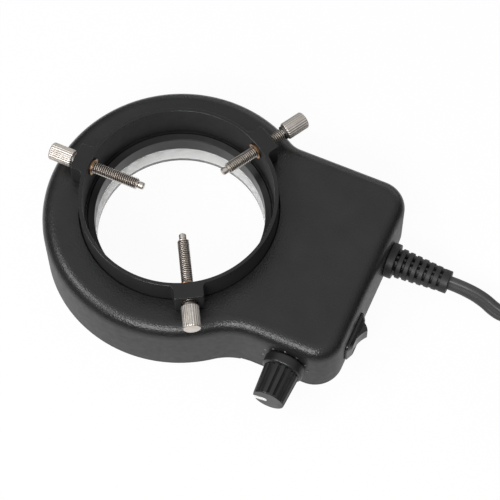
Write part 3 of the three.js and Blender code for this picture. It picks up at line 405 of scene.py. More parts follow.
def solid(name, points, faces):
    """A mesh from points in millimetres, with those that meet made one."""
    weld = 0.0002
    mesh = bpy.data.meshes.new(name)
    mesh.from_pydata([Vector(p) * MM for p in points], [], faces)
    work = bmesh.new()
    work.from_mesh(mesh)
    bmesh.ops.remove_doubles(work, verts=work.verts, dist=weld * MM)
    bmesh.ops.recalc_face_normals(work, faces=work.faces)
    work.to_mesh(mesh)
    work.free()
    return added(name, mesh)


def turned(name, profile, steps):
    """A solid of revolution about Z. The profile is a closed list of (radius, height)."""
    count = len(profile)
    points, faces = [], []
    for i in range(steps):
        angle = tau * i / steps
        points += [(*circle(r, angle), z) for r, z in profile]
        ahead = (i + 1) % steps * count
        for j in range(count):
            k = (j + 1) % count
            if profile[j][0] == profile[k][0] == 0:
                continue
            faces.append((i * count + j, ahead + j, ahead + k, i * count + k))
    return solid(name, points, faces)


def lofted(name, loops, closed=False):
    """Skins loops of points, each with the same count, and caps them or closes them to a ring."""
    count = len(loops[0])
    points = [p for loop in loops for p in loop]
    faces = []
    for i in range(len(loops) if closed else len(loops) - 1):
        below, above = i * count, (i + 1) % len(loops) * count
        for j in range(count):
            k = (j + 1) % count
            faces.append((below + j, below + k, above + k, above + j))
    if not closed:
        last = (len(loops) - 1) * count
        faces.append(tuple(range(count))[::-1])
        faces.append(tuple(last + j for j in range(count)))
    return solid(name, points, faces)


def edge_rows(edge, level, count, upper):
    """How far in and at what height an outline stands on its way round a lower or an upper edge."""
    turns = [QUARTER * i / count for i in range(count + 1)]
    if upper:
        return [(edge * (1 - cos(a)), level - edge * (1 - sin(a))) for a in turns]
    return [(edge * (1 - sin(a)), level + edge * (1 - cos(a))) for a in turns]


def prism(name, outline, bottom, top, edge=0.0, count=3):
    """An upright prism whose two ends are rounded by the edge."""
    rows = [(0, bottom), (0, top)]
    if edge:
        rows = edge_rows(edge, bottom, count, False) + edge_rows(edge, top, count, True)
    loops = [[(x, y, z) for x, y in (inset(outline, drawn) if drawn else outline)] for drawn, z in rows]
    return lofted(name, loops)


def block(name, xs, ys, zs):
    return prism(name, band(*xs, *ys), *zs)


def both(half):
    return (-half, half)


def band(inner, outer, bottom, top):
    return [(inner, bottom), (outer, bottom), (outer, top), (inner, top)]


def disc(name, radius, bottom, top, steps=48):
    return turned(name, band(0, radius, bottom, top), steps)


def spin(angle, axis="Z"):
    return Matrix.Rotation(angle, 4, axis)


def spot(x, y, z):
    return Matrix.Translation((x, y, z))


def move(piece, matrix):
    """Moves a mesh by a matrix whose places are in millimetres."""
    metres = matrix.copy()
    metres.translation = metres.translation * MM
    piece.data.transform(metres)
    return piece


def shifted(piece, x=0, y=0, z=0):
    return move(piece, spot(x, y, z))


def combine(piece, tools, operation="DIFFERENCE"):
    """Cuts tools out of a piece, or joins them to it, and removes them."""
    for tool in tools:
        step = piece.modifiers.new("combine", "BOOLEAN")
        step.operation = operation
        step.solver = "EXACT"
        step.object = tool
    settle(piece)
    for tool in tools:
        bpy.data.objects.remove(tool)


def gathered(name, pieces):
    """One piece from several that don't touch."""
    work = bmesh.new()
    for piece in pieces:
        work.from_mesh(piece.data)
        bpy.data.objects.remove(piece)
    mesh = bpy.data.meshes.new(name)
    work.to_mesh(mesh)
    work.free()
    return added(name, mesh)


def place(piece, look, slot, *nodes, body="lamp", where=None, angle=32):
    """Shades and moves a piece, gives it its look and body, and hides the CAD nodes that it stands for; the
    slot is not used.
    """
    shade(piece, angle)
    if where:
        move(piece, where)
    piece.data.materials.clear()
    piece.data.materials.append(looks[look])
    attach(piece, body)
    if nodes:
        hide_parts(*nodes)
    return piece


# Materials


def node(tree, kind, inputs=None, **settings):
    made = tree.nodes.new("ShaderNode" + kind)
    for key, value in settings.items():
        setattr(made, key, value)
    for key, value in (inputs or {}).items():
        if isinstance(value, bpy.types.NodeSocket):
            tree.links.new(value, made.inputs[key])
        else:
            made.inputs[key].default_value = value
    return made


def object_place(tree):
    return node(tree, "TexCoord").outputs["Object"]


def noise(tree, size, detail=3.0):
    """Cloudy noise whose spots are about a size across, in millimetres."""
    scale = 1 / (size * MM)
    return node(
        tree, "TexNoise", {"Vector": object_place(tree), "Scale": scale, "Detail": detail}
    ).outputs["Fac"]


def cells(tree, size):
    """Leathery cells of a size, in millimetres, whose places wobble."""
    scale, reach = 1 / (size * MM), size * MM * 0.9
    wobble = node(tree, "TexNoise", {"Vector": object_place(tree), "Scale": 0.7 / (size * MM)})
    pushed = vector_math(tree, "MULTIPLY", wobble.outputs["Color"], (reach,) * 3)
    where = vector_math(tree, "ADD", object_place(tree), pushed)
    made = node(tree, "TexVoronoi", {"Vector": where, "Scale": scale}, feature="SMOOTH_F1")
    return made.outputs["Distance"]


def remap(tree, value, low, high, to_low, to_high):
    return node(
        tree, "MapRange",
        {"Value": value, "From Min": low, "From Max": high, "To Min": to_low, "To Max": to_high},
    ).outputs["Result"]


def clouds(tree, size, low, high):
    """Noise of a size that runs from low to high."""
    return remap(tree, noise(tree, size), 0.3, 0.7, low, high)


def vector_math(tree, operation, first, second):
    return node(tree, "VectorMath", {0: first, 1: second}, operation=operation).outputs[0]


def length_of(tree, vector):
    return node(tree, "VectorMath", {0: vector}, operation="LENGTH").outputs["Value"]


def part_of(tree, vector, axis):
    return node(tree, "SeparateXYZ", {"Vector": vector}).outputs[axis]


def math_node(tree, operation, first, second):
    return node(tree, "Math", {0: first, 1: second}, operation=operation).outputs[0]


def mixed(tree, factor, first, second):
    """A colour between two."""
    made = node(tree, "Mix", data_type="RGBA")
    tree.links.new(factor, made.inputs[0])
    made.inputs[6].default_value = (*first, 1)
    made.inputs[7].default_value = (*second, 1)
    return made.outputs[2]


def bump(tree, height, depth, under=None):
    """Relief of a depth in millimetres, on top of another relief."""
    inputs = {"Height": height, "Distance": depth * MM, "Strength": 1.0}
    if under:
        inputs["Normal"] = under
    return node(tree, "Bump", inputs).outputs["Normal"]


def tinted(color, share):
    return tuple(min(1.0, channel * share) for channel in color)


def new_material(name, **constants):
    material = bpy.data.materials.new(name)
    material.use_nodes = True
    tree = material.node_tree
    shader = next(n for n in tree.nodes if n.type == "BSDF_PRINCIPLED")
    for key, value in constants.items():
        shader.inputs[key.replace("_", " ")].default_value = value
    return material, tree, shader


def link(tree, shader, **sources):
    for key, source in sources.items():
        tree.links.new(source, shader.inputs[key.replace("_", " ")])


def finish(
    name, color, roughness, mottle=0.12, mottle_size=7.0, spread=0.06, grain=0.35, depth=0.01, **more
):
    """A moulded, painted or plated surface: cloudy colour, uneven gloss and a fine relief."""
    material, tree, shader = new_material(name, **more)
    tint = clouds(tree, mottle_size, 0, 1)
    link(
        tree, shader,
        Base_Color=mixed(tree, tint, tinted(color, 1 - mottle), tinted(color, 1 + mottle)),
        Roughness=clouds(tree, mottle_size * 0.45, roughness - spread, roughness + spread),
        Normal=bump(tree, noise(tree, grain, 2.0), depth),
    )
    return material


def facing_up(tree, low, high):
    """From 0 on upright faces to 1 where the surface's normal rises."""
    normal = node(tree, "NewGeometry").outputs["Normal"]
    return remap(tree, part_of(tree, normal, "Z"), low, high, 0, 1)


def shell_material():
    """Moulded shell: leathery grain on the top and its rounded edge, a finer satin on the walls."""
    material, tree, shader = new_material("shell_plastic")
    top = facing_up(tree, 0.05, 0.35)
    tint = clouds(tree, 9.0, 0, 1)
    gloss = remap(tree, top, 0, 1, 0.5, 0.3)
    uneven = clouds(tree, 2.2, -0.04, 0.04)
    grit = math_node(tree, "MULTIPLY", noise(tree, 0.35), 0.5)
    pebbles = math_node(tree, "ADD", cells(tree, 0.5), grit)
    deep = math_node(tree, "MULTIPLY", pebbles, top)
    fine = bump(tree, noise(tree, 0.3, 2.0), 0.006)
    link(
        tree, shader,
        Base_Color=mixed(tree, tint, (0.0105, 0.0105, 0.0108), (0.0145, 0.0145, 0.0148)),
        Roughness=math_node(tree, "ADD", gloss, uneven),
        Normal=bump(tree, deep, 0.075, fine),
    )
    return material


def clamp_material():
    """Painted ring: dull on its upright faces, glossier on its top and rims."""
    material, tree, shader = new_material("clamp_paint")
    tint = clouds(tree, 7.0, 0, 1)
    uneven = clouds(tree, 3.0, -0.03, 0.03)
    gloss = remap(tree, facing_up(tree, 0.06, 0.3), 0, 1, 0.78, 0.22)
    link(
        tree, shader,
        Base_Color=mixed(tree, tint, (0.0065, 0.0065, 0.0067), (0.0085, 0.0085, 0.0087)),
        Roughness=math_node(tree, "ADD", gloss, uneven),
        Normal=bump(tree, noise(tree, 0.35, 2.0), 0.004),
    )
    return material


def clear_material():
    """Clear cover, frosted towards its upper edge and along its lower inner edge."""
    material, tree, shader = new_material("clear_plastic", Base_Color=(0.97, 0.97, 0.965, 1), IOR=1.49)
    height = part_of(tree, object_place(tree), "Z")
    out = length_of(tree, vector_math(tree, "MULTIPLY", object_place(tree), (1, 1, 0)))
    lower = remap(tree, height, 0.6 * MM, 1.3 * MM, 0.9, 0)
    edge = remap(tree, out, (HOLE_RADIUS + 0.9) * MM, (HOLE_RADIUS + 1.6) * MM, 1, 0)
    upper = remap(tree, height, 4.8 * MM, 6.6 * MM, 0, 1)
    frost = math_node(tree, "MAXIMUM", upper, math_node(tree, "MULTIPLY", lower, edge))
    uneven = clouds(tree, 5.0, -0.04, 0.04)
    link(
        tree, shader,
        Transmission_Weight=remap(tree, frost, 0, 1, 0.98, 0.74),
        Roughness=math_node(tree, "ADD", remap(tree, frost, 0, 1, 0.12, 0.36), uneven),
        Normal=bump(tree, noise(tree, 1.5), 0.02),
    )
    return material


def lamp_material():
    material, tree, shader = new_material(
        "lamp_epoxy", Base_Color=(0.95, 0.96, 0.93, 1), IOR=1.52, Transmission_Weight=0.85
    )
    link(
        tree, shader,
        Roughness=clouds(tree, 2.0, 0.05, 0.14), Normal=bump(tree, noise(tree, 0.8), 0.008),
    )
    return material


def metal_material(name, color, roughness):
    """Turned and plated metal with fine tool marks and slight staining."""
    material, tree, shader = new_material(name, Metallic=1.0)
    stain = remap(tree, noise(tree, 2.2), 0.35, 0.75, 0, 1)
    link(
        tree, shader,
        Base_Color=mixed(tree, stain, tinted(color, 1.04), tinted(color, 0.88)),
        Roughness=clouds(tree, 1.3, roughness - 0.04, roughness + 0.05),
        Normal=bump(tree, noise(tree, 0.4, 2.0), 0.002),
    )
    return material


BLACK = (0.012, 0.012, 0.0125)
looks = {
    "shell": shell_material(),
    "clamp": clamp_material(),
    "sleeve": finish("sleeve_plastic", (0.009, 0.009, 0.0093), 0.34, depth=0.004, Specular_IOR_Level=0.3),
    "knob": finish("knob_plastic", (0.012, 0.012, 0.0124), 0.36, depth=0.005),
    "pointer": finish("pointer_paint", (0.8, 0.8, 0.79), 0.45, mottle=0.04, depth=0.006),
    "scale": finish("scale_print", (0.2, 0.175, 0.15), 0.55, mottle=0.15, mottle_size=1.0, depth=0.004),
    "switch": finish("switch_plastic", (0.011, 0.011, 0.0114), 0.3, depth=0.004),
    "relief": finish("relief_rubber", BLACK, 0.52, depth=0.012),
    "cord": finish("cord_jacket", (0.045, 0.045, 0.0455), 0.38, mottle_size=14, depth=0.006),
    "plug": finish("plug_rubber", BLACK, 0.42, depth=0.012),
    "tie": finish("tie_strap", (0.02, 0.02, 0.021), 0.6, grain=0.25, depth=0.03),
    "nickel": metal_material("nickel_plate", (0.69, 0.64, 0.59), 0.4),
    "steel": metal_material("steel_zinc", (0.62, 0.63, 0.64), 0.34),
    # Dark copy of steel: painted shade on the collars under the thumbscrews' heads
    "steel_in_painted_shade": metal_material("steel_shadow", (0.2, 0.19, 0.18), 0.4),
    # Dark brown metal: painted shade in the roots of the thumbscrews' threads
    "groove": metal_material("thread_root_painted_shade", (0.05, 0.038, 0.03), 0.5),
    "brass": metal_material("bush_brass", (0.42, 0.25, 0.14), 0.36),
    "blade": metal_material("blade_brass", (0.8, 0.66, 0.36), 0.28),
    "board": finish("board_white", (0.78, 0.78, 0.75), 0.5, mottle=0.04, depth=0.006),
    "cup": finish("lamp_cup", (0.8, 0.72, 0.3), 0.45, mottle=0.1, mottle_size=1.0),
    "clear": clear_material(),
    "lamp": lamp_material(),
    "green": finish("board_green", (0.012, 0.1, 0.04), 0.4, mottle=0.2, mottle_size=3.0),
    "yellow": finish("winding_tape", (0.6, 0.42, 0.05), 0.42, mottle=0.12, mottle_size=4.0),
    "component": finish("component_sleeve", (0.02, 0.02, 0.024), 0.38),
    "lead": finish("lead_sleeve", (0.2, 0.05, 0.02), 0.4, mottle_size=3.0),
}

# Cord


def along_route(route):
    """Stations on a smooth curve through a route of (x, y, z, lean), each a place and a lean in radians."""
    points = [Vector(stop[:3]) for stop in route]
    points = [points[0] * 2 - points[1], *points, points[-1] * 2 - points[-2]]
    stations = []
    for i in range(len(route) - 1):
        p = points[i:i + 4]
        knots = [0.0]
        for first, second in zip(p, p[1:]):
            knots.append(knots[-1] + (second - first).length ** 0.5)
        for step in range(ROUTE_STEPS):
            share = step / ROUTE_STEPS
            t = knots[1] + (knots[2] - knots[1]) * share
            a = [between(p[j], p[j + 1], knots[j], knots[j + 1], t) for j in range(3)]
            b = [between(a[j], a[j + 1], knots[j], knots[j + 2], t) for j in range(2)]
            lean = route[i][3] + (route[i + 1][3] - route[i][3]) * share
            stations.append((between(b[0], b[1], knots[1], knots[2], t), radians(lean)))
    stations.append((points[-2], radians(route[-1][3])))
    return stations


def between(first, second, start, end, t):
    return first + (second - first) * ((t - start) / (end - start))


def round_coil(turns, radius, height):
    angle = COIL_ENTRY - tau * turns
    return Vector((COIL_X + radius * cos(angle), COIL_Y + radius * sin(angle), height))


def coil_stations():
    half = COIL_TURNS / 2
    count = round(COIL_TURNS * COIL_STEPS)
    stations = []
    for i in range(count + 1):
        turns = COIL_TURNS * i / count
        radius = COIL_RADIUS - LOOP_PITCH * (half - abs(turns - half))
        climb = min(1.0, max(0.0, (turns - half) / CLIMB_TURNS + 0.5))
        height = COIL_BOTTOM_Z + LAYER_PITCH * climb * climb * (3 - 2 * climb)
        stations.append((round_coil(turns, radius, height), 0.0))
    return stations


def tail_stations():
    after = COIL_TURNS + GAP / (tau * COIL_RADIUS)
    route = [
        (*round_coil(after + degrees / 360, COIL_RADIUS + outwards, COIL_TOP_Z + upwards), 0)
        for degrees, outwards, upwards in TAIL_ROUTE
    ]
    return along_route(route)


def cord_section():
    """Flat two-core section: (along the width, through the thickness), faces slightly hollow."""
    radius = CORD_THICKNESS / 2
    centre = CORD_WIDTH / 2 - radius
    upper = arc(centre, 0, radius, -QUARTER, QUARTER, 10)
    lower = arc(-centre, 0, radius, QUARTER, QUARTER * 3, 10)
    shares = [0.6, 0.3, 0, -0.3, -0.6]
    top = [(centre * s, radius - CORD_HOLLOW * (1 - s * s) ** 2) for s in shares]
    bottom = [(-x, -y) for x, y in top]
    return upper + top + lower + bottom


def make_cord():
    lead = along_route(LEAD_ROUTE)
    start = lead[0][0] - Vector((CORD_INSIDE, 0, 0))
    stations = [(start, lead[0][1]), *lead, *coil_stations()[1:], *tail_stations()[1:]]
    places = [place for place, lean in stations]
    up = Vector((0, 0, 1))
    section = cord_section()
    loops = []
    for i, (here, lean) in enumerate(stations):
        ahead = (places[min(i + 1, len(places) - 1)] - places[max(i - 1, 0)]).normalized()
        side = ahead.cross(up).normalized()
        rise = side.cross(ahead)
        wide = rise * cos(lean) + side * sin(lean)
        thick = side * cos(lean) - rise * sin(lean)
        loops.append([here + wide * w + thick * t for w, t in section])
    nodes = ("cord_lead", "cord_coil", "cord_tail")
    return place(lofted("mains_cord", loops), "cord", "cord_black", *nodes, angle=50), places


def make_tie():
    """A woven strap round the bundle of loops."""
    low = COIL_RADIUS - LOOP_PITCH * COIL_TURNS / 2 - CORD_THICKNESS / 2 - GAP
    high = COIL_RADIUS + CORD_THICKNESS / 2 + GAP
    top = COIL_TOP_Z + CORD_WIDTH / 2 + GAP
    middle, length, height = (low + high) / 2, high - low + TIE_THICKNESS * 2, top + TIE_THICKNESS
    outer = rounded_rectangle(length, height, TIE_CORNER)
    inner = rounded_rectangle(
        length - TIE_THICKNESS * 2, height - TIE_THICKNESS * 2, TIE_CORNER - TIE_THICKNESS
    )
    loops = []
    half = TIE_WIDTH / 2
    for outline, y in ((outer, -half), (outer, half), (inner, half), (inner, -half)):
        loops.append([(middle + a, y, height / 2 + b) for a, b in outline])
    tie = lofted("coil_strap", loops, closed=True)
    return place(tie, "tie", "cord_black", "coil_tie", where=spot(COIL_X, COIL_Y, 0) @ spin(TIE_ANGLE))


def make_plug(cord_path):
    """Moulded plug on the cord's end, with grip ribs on its neck and two flat blades."""
    width, thickness, length, nose = PLUG_WIDTH, PLUG_THICKNESS, PLUG_LENGTH, PLUG_NOSE
    # [height, width, thickness, corner radius]
    rows = [
        (GAP, 7.4, 5.4, 2.6), (2, 8.2, 6.4, 3.1), (nose - 2, 9, 8.2, 4), (nose, 12, 9.5, 4.5),
        (nose + 3, 18, 12.4, 4.6), (nose + 7, 22.4, 14.4, 3.6), (nose + 11, width, thickness, 3.2),
        (length - 1, width, thickness, 3), (length - 0.3, width - 0.6, thickness - 0.6, 3),
        (length, width - 1.6, thickness - 1.6, 2.8),
    ]
    loops = [[(x, y, z) for x, y in rounded_rectangle(w, h, r, 8)] for z, w, h, r in rows]
    body = lofted("plug_moulding", loops)
    ribs = []
    for i in range(PLUG_RIBS):
        z = PLUG_FIRST_RIB + i * PLUG_RIB_PITCH
        sides = [side + i * PLUG_RIB_GROWTH for side in PLUG_RIB]
        outline = rounded_rectangle(*sides, PLUG_RIB_CORNER, 8)
        ribs.append(prism("rib", outline, z, z + PLUG_RIB_THICKNESS, 0.25))
    combine(body, ribs, "UNION")
    half_x, half_y = BLADE_SLOT[0] / 2, BLADE_SLOT[1] / 2
    depth = (length - BLADE_SUNK - GAP, length + OVERRUN)
    combine(body, [block("slot", (x - half_x, x + half_x), (-half_y, half_y), depth) for x in BLADE_XS])
    before, end = cord_path[-1 - ROUTE_STEPS // 2], cord_path[-1]
    heading = atan2(end.y - before.y, end.x - before.x)
    along = Matrix.Translation(end) @ spin(heading - QUARTER) @ spin(-QUARTER, "X")
    place(body, "plug", "cord_black", "plug_body", where=along)
    blades = []
    for i, x in enumerate(BLADE_XS):
        outline = rounded_rectangle(*BLADE_SECTION, 0.3, 3)
        blade = prism(f"blade_{i + 1}", outline, length - BLADE_SUNK, length + BLADE_REACH, 0.5)
        hole = disc("hole", BLADE_HOLE_RADIUS, -3, 3, 24)
        move(hole, spot(x, 0, length + BLADE_HOLE_Z) @ spin(QUARTER, "Y"))
        shifted(blade, x)
        combine(blade, [hole])
        blades.append(place(blade, "blade", "cord_black", f"plug_blade_{i + 1}", where=along))
    return [body, *blades]


# Housing and bottom cover


def footprint(drawn_in):
    radius = RING_RADIUS - drawn_in
    near, far = NEAR_WALL_Y + drawn_in, FAR_WALL_Y - drawn_in
    back, corner = BACK_WALL_X - drawn_in, BOX_CORNER - drawn_in
    near_blend, far_blend = NEAR_BLEND + drawn_in, FAR_BLEND + drawn_in
    near_y, far_y = near - near_blend, far + far_blend
    near_x = sqrt((radius + near_blend) ** 2 - near_y ** 2)
    far_x = sqrt((radius + far_blend) ** 2 - far_y ** 2)
    near_angle, far_angle = atan2(near_y, near_x), atan2(far_y, far_x)
    return [
        *arc(0, 0, radius, far_angle, near_angle + tau, 120),
        *arc(near_x, near_y, near_blend, near_angle + pi, QUARTER, 18)[1:],
        *arc(back - corner, near + corner, corner, -QUARTER, 0, 14),
        *arc(back - corner, far - corner, corner, 0, QUARTER, 14),
        *arc(far_x, far_y, far_blend, -QUARTER, far_angle - pi, 14)[:-1],
    ]


def screw_places(kind, count):
    """Where the upright screws of a kind stand in the CAD model."""
    boxes = [extent(f"{kind}_screw_{i + 1}") for i in range(count)]
    return [((low.x + high.x) / 2, (low.y + high.y) / 2) for low, high in boxes]


def discs(name, places, radius, bottom, top, steps=48):
    return [shifted(disc(name, radius, bottom, top, steps), x, y) for x, y in places]


def make_housing():
    rows = [
        *edge_rows(BOTTOM_EDGE, 0, 3, False), (0, (HOUSING_TOP - TOP_FILLET) * 0.5),
        *edge_rows(TOP_FILLET, HOUSING_TOP, 12, True),
    ]
    shell = lofted("shell", [[(x, y, z) for x, y in footprint(drawn)] for drawn, z in rows])
    counterbore = CLAMP_RADIUS + GAP
    counterbore_wall = counterbore + WALL
    sleeve_hole, lip_hole = SLEEVE_RADIUS + GAP, SLEEVE_LIP_RADIUS + GAP
    lip_bottom = SHELF_TOP - SLEEVE_LIP_SEAT
    channel, edge, above = CHANNEL_RADIUS, BORE_EDGE, HOUSING_TOP + OVERRUN
    bore = [
        (0, -OVERRUN), (channel + edge, -OVERRUN), (channel + edge, 0), (channel, edge),
        (channel, CAVITY_TOP), (counterbore_wall, CAVITY_TOP), (counterbore_wall, SHELF_BOTTOM),
        (sleeve_hole, SHELF_BOTTOM), (sleeve_hole, lip_bottom), (lip_hole, lip_bottom),
        (lip_hole, SHELF_TOP), (counterbore, SHELF_TOP), (counterbore, HOUSING_TOP - edge),
        (counterbore + edge, HOUSING_TOP), (counterbore + edge, above), (0, above),
    ]
    inside = prism("inside", footprint(WALL), -OVERRUN, CAVITY_TOP)
    combine(inside, [disc("core", RING_RADIUS, -OVERRUN * 2, HOUSING_TOP, FINE)])
    seat = prism("seat", footprint(-OVERRUN), -OVERRUN, COVER_SEAT_Z)
    combine(seat, [disc("core", COVER_ARC - GAP, -OVERRUN * 2, HOUSING_TOP, FINE)])
    combine(shell, [turned("bore", bore, FINE), inside, seat])
    foot = turned("foot", band(RING_RADIUS - GAP, COVER_ARC - GAP * 2, 0, COVER_SEAT_Z), FINE)
    combine(foot, [prism("limit", footprint(WALL / 2), 0, COVER_SEAT_Z)], "INTERSECT")
    cover_screws, board_screws = screw_places("cover", 4), screw_places("board", 2)
    posts = [
        foot, *discs("post", cover_screws, POST_RADIUS, COVER_SEAT_Z, CAVITY_TOP + GAP),
        *discs("boss", board_screws, BOSS_RADIUS, CAVITY_TOP - BOSS_DROP, CAVITY_TOP + GAP),
    ]
    rib_reach = (counterbore_wall - RIB_SUNK[0], CHANNEL_RADIUS + RIB_SUNK[1])
    for i in range(RIB_COUNT):
        rib = block("rib", rib_reach, both(RIB_THICKNESS / 2), (RIB_BOTTOM, CAVITY_TOP + GAP))
        posts.append(move(rib, spin(tau * (i + 0.5) / RIB_COUNT)))
    combine(shell, posts, "UNION")
    openings = [
        *discs("hole", cover_screws, SCREW_HOLE_RADIUS, 0, COVER_SEAT_Z + SCREW_HOLE_DEPTH, 24),
        *discs("hole", board_screws, BOSS_HOLE_RADIUS, 0, CAVITY_TOP + WALL / 2, 24),
    ]
    control = disc("hole", CONTROL_HOLE_RADIUS, -NEAR_WALL_Y - WALL - OVERRUN, -NEAR_WALL_Y + OVERRUN)
    openings.append(move(control, spot(KNOB_X, 0, KNOB_Z) @ spin(QUARTER, "X")))
    through = (BACK_WALL_X - WALL - OVERRUN, BACK_WALL_X + OVERRUN)
    switch = block("hole", through, both(SWITCH_CAN[0] / 2 + GAP), both(SWITCH_CAN[1] / 2 + GAP))
    openings.append(shifted(switch, 0, SWITCH_Y, SWITCH_Z))
    neck = disc("hole", RELIEF_NECK_RADIUS + GAP, *through)
    openings.append(move(neck, spot(0, RELIEF_Y, RELIEF_Z) @ spin(QUARTER, "Y")))
    leads_reach = (CHANNEL_RADIUS - OVERRUN, RING_RADIUS + OVERRUN)
    slot = block("slot", leads_reach, both(LEAD_SLOT_WIDTH / 2), (RIB_BOTTOM, CAVITY_TOP - GAP))
    openings.append(move(slot, spin(asin(LEAD_SLOT_Y / RING_RADIUS))))
    combine(shell, openings)
    place(shell, "shell", "housing_plastic", "housing")


def cross_recess():
    """Two bars to be cut from the head of a screw whose head faces -Z."""
    wide = CROSS_HALF_WIDTH
    section = ((-1, -wide), (1, -wide), (1, wide), (-1, wide))
    rows = ((CROSS_RADIUS, -OVERRUN), (CROSS_RADIUS, 0), (CROSS_RADIUS * CROSS_TAPER, CROSS_DEPTH))
    loops = [[(x * reach, y, z) for x, y in section] for reach, z in rows]
    return [move(lofted("cross", loops), spin(turn + CROSS_TURN)) for turn in (0, QUARTER)]


def make_bottom_cover():
    edge, above = BOTTOM_EDGE, BOTTOM_COVER_THICKNESS + OVERRUN
    plate = prism("base_cover", footprint(GAP / 2), 0, BOTTOM_COVER_THICKNESS, edge * 0.9)
    tools = [turned("arc", [
        (0, -OVERRUN), (COVER_ARC + edge, -OVERRUN), (COVER_ARC + edge, 0), (COVER_ARC, edge),
        (COVER_ARC, above), (0, above),
    ], FINE)]
    wide, narrow = (radius for radius, height in COUNTERSINK)
    sink = [(0, -OVERRUN), (wide, -OVERRUN), *COUNTERSINK, (narrow, above), (0, above)]
    places = screw_places("cover", 4)
    for x, y in places:
        tools.append(shifted(turned("sink", sink, 40), x, y))
    combine(plate, tools)
    place(plate, "shell", "housing_plastic", "bottom_cover")
    for i, (x, y) in enumerate(places):
        screw = turned(f"cover_fixing_{i + 1}", COVER_SCREW, 40)
        combine(screw, cross_recess())
        place(screw, "steel", "screw_steel", f"cover_screw_{i + 1}", where=spot(x, y, 0))


# Clamp ring, bushes and thumbscrews


def screw_frame(index, along=0.0):
    """From a piece along +Z with its tip at zero to its place on the clamp ring."""
    turn = spin(pi + tau * index / LUG_COUNT)
    return turn @ spot(along, 0, SCREW_AXIS_Z) @ spin(QUARTER, "Y")


def lug_outline():
    fillet_y = LUG_HALF_WIDTH + LUG_FILLET
    meet = CLAMP_RADIUS - GAP / 2
    fillet_x = sqrt((meet + LUG_FILLET) ** 2 - fillet_y ** 2)
    fillet_angle = atan2(fillet_y, fillet_x)
    root = CLAMP_BORE + CLAMP_WALL / 2
    corner_x, corner_y = LUG_REACH - LUG_CORNER, LUG_HALF_WIDTH - LUG_CORNER
    upper = [
        *arc(corner_x, corner_y, LUG_CORNER, 0, QUARTER, 6),
        *arc(fillet_x, fillet_y, LUG_FILLET, -QUARTER, fillet_angle - pi, 8),
    ]
    lower = [(x, -y) for x, y in reversed(upper)]
    return [*upper, *arc(0, 0, root, fillet_angle, -fillet_angle, 10), *lower]


def make_clamp_ring():
    edge = CLAMP_EDGE
    profile = band(CLAMP_BORE, CLAMP_RADIUS, CLAMP_BOTTOM, CLAMP_TOP)
    ring = turned("clamp", soften(profile, edge), FINE)
    lugs, bores = [], []
    for i in range(LUG_COUNT):
        turn = spin(pi + tau * i / LUG_COUNT)
        lug = prism("lug", lug_outline(), HOUSING_TOP + GAP, CLAMP_TOP - LUG_STEP_DOWN, edge)
        lugs.append(move(lug, turn))
        bore = disc("bore", BUSH_RADIUS + GAP / 2, HOLE_RADIUS, LUG_REACH + OVERRUN, 40)
        bores.append(move(bore, screw_frame(i)))
    combine(ring, lugs, "UNION")
    combine(ring, bores)
    place(ring, "clamp", "clamp_black", "clamp_ring")


def make_bush(index):
    lip, end = BUSH_LIP_RADIUS, LUG_REACH - GAP
    lip_top = sqrt(CLAMP_BORE ** 2 - lip ** 2) - GAP
    lip_bottom = lip_top - BUSH_LIP_THICKNESS
    profile = soften([
        (BUSH_BORE, lip_bottom), (lip, lip_bottom), (lip, lip_top), (BUSH_RADIUS, lip_top),
        (BUSH_RADIUS, end), (BUSH_BORE, end),
    ], BUSH_EDGE, 2)
    bush = turned(f"thread_bush_{index + 1}", profile, 40)
    place(bush, "brass", "bush_brass", f"bush_{index + 1}", where=screw_frame(index))


def threaded(name, start, end):
    """A tube along Z with a single-start thread whose crests fade at its two ends."""
    steps, rows_per_pitch = 28, 10
    count = round((end - start) / THREAD_PITCH * rows_per_pitch)
    loops = []
    for i in range(count + 1):
        z = start + (end - start) * i / count
        fade = max(0.0, min(1.0, (z - start) / THREAD_RUNOUT, (end - z) / THREAD_RUNOUT))
        loop = []
        for j in range(steps):
            flank = 0.5 - 0.5 * cos(tau * (z / THREAD_PITCH - j / steps))
            radius = THREAD_ROOT + (THREAD_CREST - THREAD_ROOT) * flank * fade
            loop.append((*circle(radius, tau * j / steps), z))
        loops.append(loop)
    inner = [(POINT_STEM_RADIUS + 0.2) / THREAD_ROOT * Vector((x, y)) for x, y, z in loops[0]]
    loops += [[(x, y, z) for x, y in inner] for z in (end, start)]
    return lofted(name, loops, closed=True)


def knurled(name, radius, bottom, top, chamfer):
    """A cylinder with straight grooves round it and chamfered ends."""
    rows = [
        (chamfer, bottom), (0, bottom + chamfer), (0, top - chamfer),
        (chamfer * 0.5, top - chamfer * 0.35), (chamfer, top),
    ]
    samples = 8
    loops = []
    for drawn, z in rows:
        loop = []
        for j in range(KNURL_COUNT * samples):
            groove = KNURL_DEPTH * (0.5 - 0.5 * cos(tau * j / samples)) ** 2
            r = min(radius - groove, radius - drawn)
            loop.append((*circle(r, tau * j / (KNURL_COUNT * samples)), z))
        loops.append(loop)
    return lofted(name, loops)


